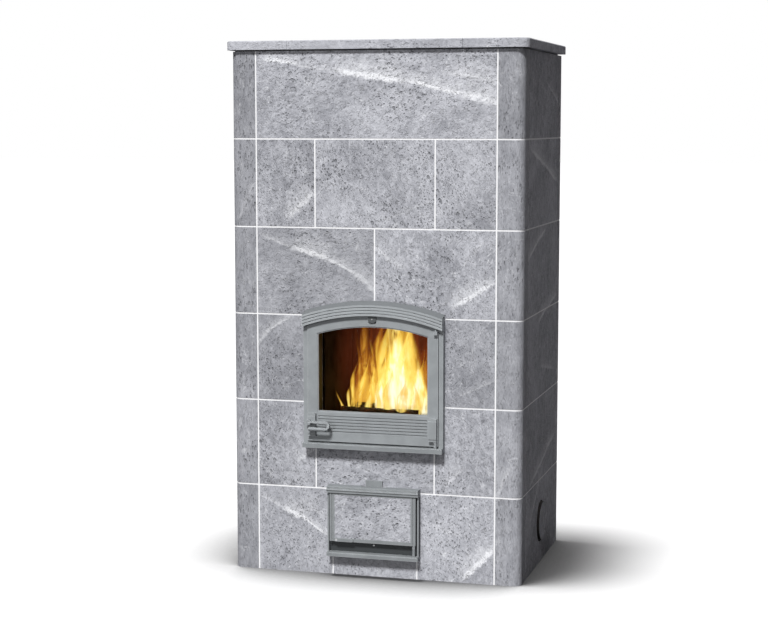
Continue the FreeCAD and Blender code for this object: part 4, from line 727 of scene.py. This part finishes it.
def flame_finish(name, strength, hot, warm, cool):
    """Flame: hot at the foot and the core, cooler to the tip, torn into streaks and clear at the edges."""
    finish = Finish(name)
    uv = finish.add("ShaderNodeUVMap", uv_map="flame").outputs[0]
    parts = finish.add("ShaderNodeSeparateXYZ", {0: uv})
    across = finish.sum("ABSOLUTE", finish.sum("MULTIPLY_ADD", parts.outputs[0], 2.0, -1.0))
    rise = parts.outputs[1]
    licks = finish.noise(finish.move("MULTIPLY", finish.place, (1.0, 1.0, 0.20)), 46.0, 2.5, 0.55, 0.9)
    swirl = finish.noise(finish.move("MULTIPLY", finish.place, (1.0, 1.0, 0.50)), 15.0, 2.5, 0.55, 1.4)
    torn = finish.sum("MULTIPLY_ADD", licks, 0.60, finish.sum("MULTIPLY", swirl, 0.60))
    heat = finish.sum("SUBTRACT", finish.sum("ADD", torn, 0.28),
                      finish.sum("MULTIPLY_ADD", across, 0.30, finish.sum("MULTIPLY", rise, 0.40)))
    colour = finish.mix(finish.ramp(heat, 0.22, 0.56), cool, warm)
    colour = finish.mix(finish.ramp(heat, 0.54, 0.82), colour, hot)
    rim = finish.sum("MULTIPLY", finish.ramp(across, 1.0, 0.25), finish.ramp(rise, 1.0, 0.40))
    foot = finish.ramp(rise, 0.0, 0.12)
    cover = finish.sum("MULTIPLY", finish.sum("MULTIPLY", rim, foot), finish.ramp(torn, 0.36, 0.68))
    light = finish.add("ShaderNodeEmission", {"Color": colour, "Strength": strength})
    clear = finish.add("ShaderNodeBsdfTransparent")
    both = finish.add("ShaderNodeMixShader", {0: cover, 1: clear.outputs[0], 2: light.outputs[0]})
    finish.tree.links.new(both.outputs[0], finish.output.inputs["Surface"])
    return finish.material


def tongue(bm, foot, height, room, width, lean, sway, phase):
    """One flame: a curved sheet, wide low down, drawn out to a tip or ended under the ceiling."""
    layer = bm.loops.layers.uv.get("flame") or bm.loops.layers.uv.new("flame")
    verts = bmesh.ops.create_grid(bm, x_segments=8, y_segments=26, size=0.5)["verts"]
    shown = min(1.0, room / height)
    chart = {vert: (vert.co.x + 0.5, (vert.co.y + 0.5) * shown) for vert in verts}
    for vert, (u, v) in chart.items():
        side = 2 * u - 1
        slim = (0.55 + 0.45 * math.sin(math.pi * min(v * 1.5, 1.0))) * (1.0 - v) ** 0.75
        drift = lean * v + sway * v * math.sin(5.2 * v + phase)
        flutter = 0.3 * sway * side * math.sin(9.0 * v + phase)
        curl = 0.35 * width * (side * side - 0.5) + 0.5 * sway * math.sin(3.0 * v + phase)
        aside = width * side * slim + drift + flutter
        vert.co = foot + Vector((aside, curl, height * v))
    for face in {face for vert in verts for face in vert.link_faces}:
        face.smooth = True
        for loop in face.loops:
            loop[layer].uv = chart[loop.vert]


# Sheets of flame: strength, hot, warm and cool colour, place from front to back, and for each flame its
# place across, its height as a share of a full flame, half its width, its lean and its sway
FLAMES = {
    "flames_glow": (0.80, (0.34, 0.085, 0.014), (0.20, 0.042, 0.007), (0.10, 0.018, 0.004), 0.120, [
        (-0.150, 0.85, 0.070, 0.02, 0.020), (-0.100, 1.04, 0.090, 0.02, 0.025),
        (-0.040, 1.06, 0.100, 0.02, 0.030), (0.030, 1.06, 0.100, 0.01, 0.030),
        (0.095, 1.06, 0.090, 0.00, 0.030)]),
    "flames_back": (0.62, (0.88, 0.46, 0.060), (0.46, 0.16, 0.016), (0.17, 0.038, 0.005), 0.075, [
        (-0.165, 0.80, 0.035, 0.02, 0.020), (-0.130, 1.05, 0.045, 0.02, 0.024),
        (-0.090, 1.08, 0.050, 0.02, 0.026), (-0.045, 1.08, 0.052, 0.02, 0.028),
        (0.005, 1.06, 0.060, 0.01, 0.030), (0.045, 1.06, 0.050, 0.00, 0.028),
        (0.085, 0.70, 0.040, 0.00, 0.022)]),
    "flames_middle": (0.76, (1.0, 0.76, 0.16), (0.95, 0.55, 0.060), (0.48, 0.15, 0.012), 0.030, [
        (-0.166, 0.52, 0.017, 0.02, 0.014), (-0.136, 0.64, 0.019, 0.03, 0.016),
        (-0.103, 0.70, 0.022, 0.02, 0.018), (-0.072, 0.80, 0.024, 0.02, 0.020),
        (-0.045, 1.06, 0.046, 0.02, 0.026), (-0.010, 1.24, 0.066, 0.02, 0.030),
        (0.030, 1.26, 0.070, 0.01, 0.030), (0.062, 1.04, 0.050, -0.01, 0.026),
        (0.095, 0.62, 0.040, -0.01, 0.020)]),
    "flames_core": (0.92, (1.0, 0.95, 0.66), (1.0, 0.77, 0.18), (0.94, 0.54, 0.055), -0.015, [
        (-0.044, 0.66, 0.044, 0.01, 0.014), (-0.018, 0.98, 0.064, 0.02, 0.018),
        (0.015, 1.20, 0.076, 0.02, 0.022), (0.046, 1.06, 0.064, 0.01, 0.020),
        (0.082, 0.66, 0.052, 0.00, 0.018), (0.110, 0.50, 0.036, 0.00, 0.014)]),
    "flames_front": (0.70, (1.0, 0.80, 0.22), (0.94, 0.52, 0.060), (0.52, 0.16, 0.012), -0.060, [
        (-0.165, 0.24, 0.012, -0.03, 0.006), (-0.150, 0.36, 0.014, 0.01, 0.012),
        (-0.118, 0.42, 0.016, 0.02, 0.012), (-0.085, 0.44, 0.018, 0.02, 0.012),
        (-0.045, 0.38, 0.026, 0.01, 0.014), (-0.005, 0.44, 0.034, 0.00, 0.016),
        (0.045, 0.46, 0.036, 0.00, 0.016), (0.095, 0.40, 0.028, 0.00, 0.012)]),
}
FLAME_FOOT = 0.035
CEILING_GAP = 0.008


class HEATER_OT_flames(Operator):
    """Lights the fire: sheets of flame one behind another"""
    bl_idname = "heater.flames"
    bl_label = "Flames"

    def execute(self, context):
        fire = context.scene.heater_fire
        middle = (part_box("grate")[0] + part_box("grate")[1]) / 2
        low = GRATE_TOP + FLAME_FOOT
        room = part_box("firebox_ceiling_stones")[0].z - low - CEILING_GAP
        for order, (name, (power, hot, warm, cool, depth, flames)) in enumerate(FLAMES.items()):
            bm = bmesh.new()
            for place, (across, tall, wide, lean, sway) in enumerate(flames):
                phase = 1.7 * place + 2.3 * order + fire.seed
                foot = Vector((across, middle.y + depth, low))
                tongue(bm, foot, fire.flame_height * tall, room, wide, lean, sway, phase)
            place_mesh(name, bm, "heater", flame_finish(name, fire.glow * power, hot, warm, cool))
        return {"FINISHED"}


# Radii of the screw heads, and where they sit
TAB_SCREW = 0.0022
TAB_SCREW_DROP = 0.009
COLLAR_SCREW = 0.005
COLLAR_SCREW_INSET = 0.010
COLLAR_FLANGE = 0.004


class HEATER_OT_screws(Operator):
    """Puts the small screw heads on the air tab and on the flue collar's flange"""
    bl_idname = "heater.screws"
    bl_label = "Screws"

    def execute(self, context):
        finish = Finish("screw_steel")
        turned = finish.noise(finish.place, 900.0, 2.0)
        colour = finish.mix(finish.ramp(turned, 0.3, 0.7), (0.34, 0.34, 0.34), (0.55, 0.55, 0.55))
        steel = finish.surface(colour, Metallic=0.7, Roughness=finish.ramp(turned, 0.2, 0.8, 0.28, 0.42))
        low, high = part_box("upper_air_slide")
        spot = Vector(((low.x + high.x) / 2, low.y, high.z - TAB_SCREW_DROP))
        screw_head("air_tab_screw", spot, Vector((0, -1, 0)), TAB_SCREW, "upper_air_slide", steel)
        low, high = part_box("flue_collar")
        middle = (low + high) / 2
        stone_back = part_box("flue_slab")[1].y
        ring = (high.x - low.x) / 2 - COLLAR_SCREW_INSET
        for index in range(4):
            angle = math.radians(45 + 90 * index)
            spot = Vector((middle.x + ring * math.cos(angle), stone_back + COLLAR_FLANGE,
                           middle.z + ring * math.sin(angle)))
            screw_head(f"collar_screw_{index + 1}", spot, Vector((0, 1, 0)), COLLAR_SCREW, "heater", steel)
        return {"FINISHED"}


def screw_head(name, spot, way, radius, body, material):
    """A domed screw head with a straight slot, standing on a surface."""
    bm = bmesh.new()
    bmesh.ops.create_uvsphere(bm, u_segments=24, v_segments=12, radius=radius)
    bmesh.ops.bisect_plane(bm, geom=[*bm.verts, *bm.edges, *bm.faces], plane_co=(0, 0, 0),
                           plane_no=(0, 0, 1), clear_inner=True)
    bmesh.ops.holes_fill(bm, edges=[edge for edge in bm.edges if edge.is_boundary])
    for vert in bm.verts:
        vert.co.z *= 0.45
        if abs(vert.co.y) < radius * 0.14 and vert.co.z > 0:
            vert.co.z *= 0.45
    turn = way.to_track_quat("Z", "Y").to_matrix().to_4x4()
    bmesh.ops.transform(bm, matrix=Matrix.Translation(spot) @ turn, verts=bm.verts)
    bmesh.ops.recalc_face_normals(bm, faces=bm.faces)
    smooth_faces(bm)
    return place_mesh(name, bm, body, material)


# Studio

FLOOR_REACH = 60.0
# Reach of the painted contact shadow on the floor
SHADE_REACH = 0.45
FLOOR_LIFT = 0.20
THROWN = (0.12, 0.115, 0.12, 1.0)


class HEATER_OT_studio(Operator):
    """Sets the floor, the white surroundings, the lights and the camera"""
    bl_idname = "heater.studio"
    bl_label = "Studio"

    def execute(self, context):
        scene = context.scene
        studio = scene.heater_studio
        scene.view_settings.view_transform = "Standard"
        bm = bmesh.new()
        bmesh.ops.create_grid(bm, x_segments=1, y_segments=1, size=FLOOR_REACH)
        mesh = bpy.data.meshes.new("studio_floor")
        bm.to_mesh(mesh)
        bm.free()
        floor = bpy.data.objects.new("studio_floor", mesh)
        scene.collection.objects.link(floor)
        mesh.materials.append(self.floor_finish(studio))
        self.surroundings(scene, studio)
        for name, prefix, state in (("key_light", "key", "EXCLUDE"), ("front_light", "front", "EXCLUDE"),
                                    ("floor_light", "floor_light", "INCLUDE")):
            lamp = self.sun(scene, name, *(getattr(studio, f"{prefix}_{part}")
                                           for part in ("power", "spread", "height", "side")))
            receivers = bpy.data.collections.new(f"{name}_floor")
            receivers.objects.link(floor)
            receivers.collection_objects[0].light_linking.link_state = state
            lamp.light_linking.receiver_collection = receivers
        camera = bpy.data.objects.new("camera", bpy.data.cameras.new("camera"))
        camera.data.sensor_fit = "HORIZONTAL"
        camera.data.sensor_width = 36
        camera.data.lens = studio.lens
        camera.data.clip_end = 200
        camera.location = studio.eye
        camera.rotation_euler = Euler((math.pi / 2 - studio.dip, 0, studio.turn))
        scene.collection.objects.link(camera)
        scene.camera = camera
        return {"FINISHED"}

    @staticmethod
    def sun(scene, name, power, spread, height, side):
        lamp = bpy.data.objects.new(name, bpy.data.lights.new(name, "SUN"))
        lamp.data.energy = power
        lamp.data.angle = spread
        lamp.rotation_euler = Euler((math.pi / 2 - height, 0, -side))
        scene.collection.objects.link(lamp)
        return lamp

    @staticmethod
    def seen(nodes):
        """1 for what the camera sees, straight, mirrored or through glass, and 0 for scattered light."""
        path = nodes.add("ShaderNodeLightPath")
        ray = path.outputs["Is Camera Ray"]
        for other in ("Is Glossy Ray", "Is Transmission Ray"):
            ray = nodes.sum("MAXIMUM", ray, path.outputs[other])
        return nodes.sum("MULTIPLY", ray, nodes.sum("LESS_THAN", path.outputs["Diffuse Depth"], 0.5))

    def floor_finish(self, studio):
        """White where it is seen, so that it keeps the shadow, with a painted contact shadow round the
        heater's foot, and darker in the light it throws back.
        """
        finish = Finish("studio_floor")
        # Painted shadow: the floor darkens near the heater by ambient occlusion
        painted_contact_shadow = finish.add("ShaderNodeAmbientOcclusion", {"Distance": SHADE_REACH}, samples=16)
        unshaded_floor = finish.ramp(painted_contact_shadow.outputs["AO"], 0.40, 1.0)
        pale = finish.mix(unshaded_floor, shaded(studio.floor, 0.20), studio.floor)
        seen = finish.add("ShaderNodeBsdfDiffuse", {"Color": pale})
        lift = finish.add("ShaderNodeEmission", {"Color": pale, "Strength": FLOOR_LIFT})
        shown = finish.add("ShaderNodeAddShader", {0: seen.outputs[0], 1: lift.outputs[0]})
        thrown = finish.add("ShaderNodeBsdfDiffuse", {"Color": THROWN})
        both = finish.add("ShaderNodeMixShader", {0: self.seen(finish), 1: thrown.outputs[0],
                                                  2: shown.outputs[0]})
        finish.tree.links.new(both.outputs[0], finish.output.inputs["Surface"])
        return finish.material

    def surroundings(self, scene, studio):
        """White behind the heater, and a faint light from all round."""
        scene.world = bpy.data.worlds.new("studio")
        nodes = Surroundings(scene.world)
        seen = self.seen(nodes)
        level = nodes.ramp(seen, 0.0, 1.0, studio.fill, 1.0, smooth=False)
        tint = nodes.mix(seen, studio.fill_tint, (1.0, 1.0, 1.0))
        sky = nodes.add("ShaderNodeBackground", {"Color": tint, "Strength": level})
        nodes.tree.links.new(sky.outputs[0], nodes.output.inputs["Surface"])


class HEATER_PT_sidebar(Panel):
    """Settings and steps of the masonry heater"""
    bl_idname = "HEATER_PT_sidebar"
    bl_label = "Masonry heater"
    bl_space_type = "VIEW_3D"
    bl_region_type = "UI"
    bl_category = "Heater"

    def draw(self, context):
        for settings in ("heater_stone", "heater_iron", "heater_fire", "heater_studio"):
            group = getattr(context.scene, settings)
            box = self.layout.box()
            for prop in group.__annotations__:
                box.prop(group, prop)
        for step in STEPS:
            self.layout.operator(step.bl_idname)


SETTINGS = {"heater_stone": StoneFinish, "heater_iron": IronFinish, "heater_fire": FireSet,
            "heater_studio": StudioSet}
STEPS = (HEATER_OT_front_stones, HEATER_OT_shell_stones, HEATER_OT_core_stones, HEATER_OT_joints,
         HEATER_OT_ironwork, HEATER_OT_steelwork, HEATER_OT_pane, HEATER_OT_screws, HEATER_OT_logs,
         HEATER_OT_flames, HEATER_OT_studio)
CLASSES = (*SETTINGS.values(), *STEPS, HEATER_PT_sidebar)


def register():
    for each in CLASSES:
        bpy.utils.register_class(each)
    for name, kind in SETTINGS.items():
        setattr(bpy.types.Scene, name, PointerProperty(type=kind))


def unregister():
    for name in SETTINGS:
        delattr(bpy.types.Scene, name)
    for each in reversed(CLASSES):
        bpy.utils.unregister_class(each)


def main():
    register()
    ops = bpy.ops.heater
    ops.front_stones()
    ops.shell_stones()
    ops.core_stones()
    ops.joints()
    ops.ironwork()
    ops.steelwork()
    ops.pane()
    ops.screws()
    if bpy.context.scene.heater_fire.lit:
        ops.logs()
        ops.flames()
    ops.studio()


if __name__ == "__main__":
    main()
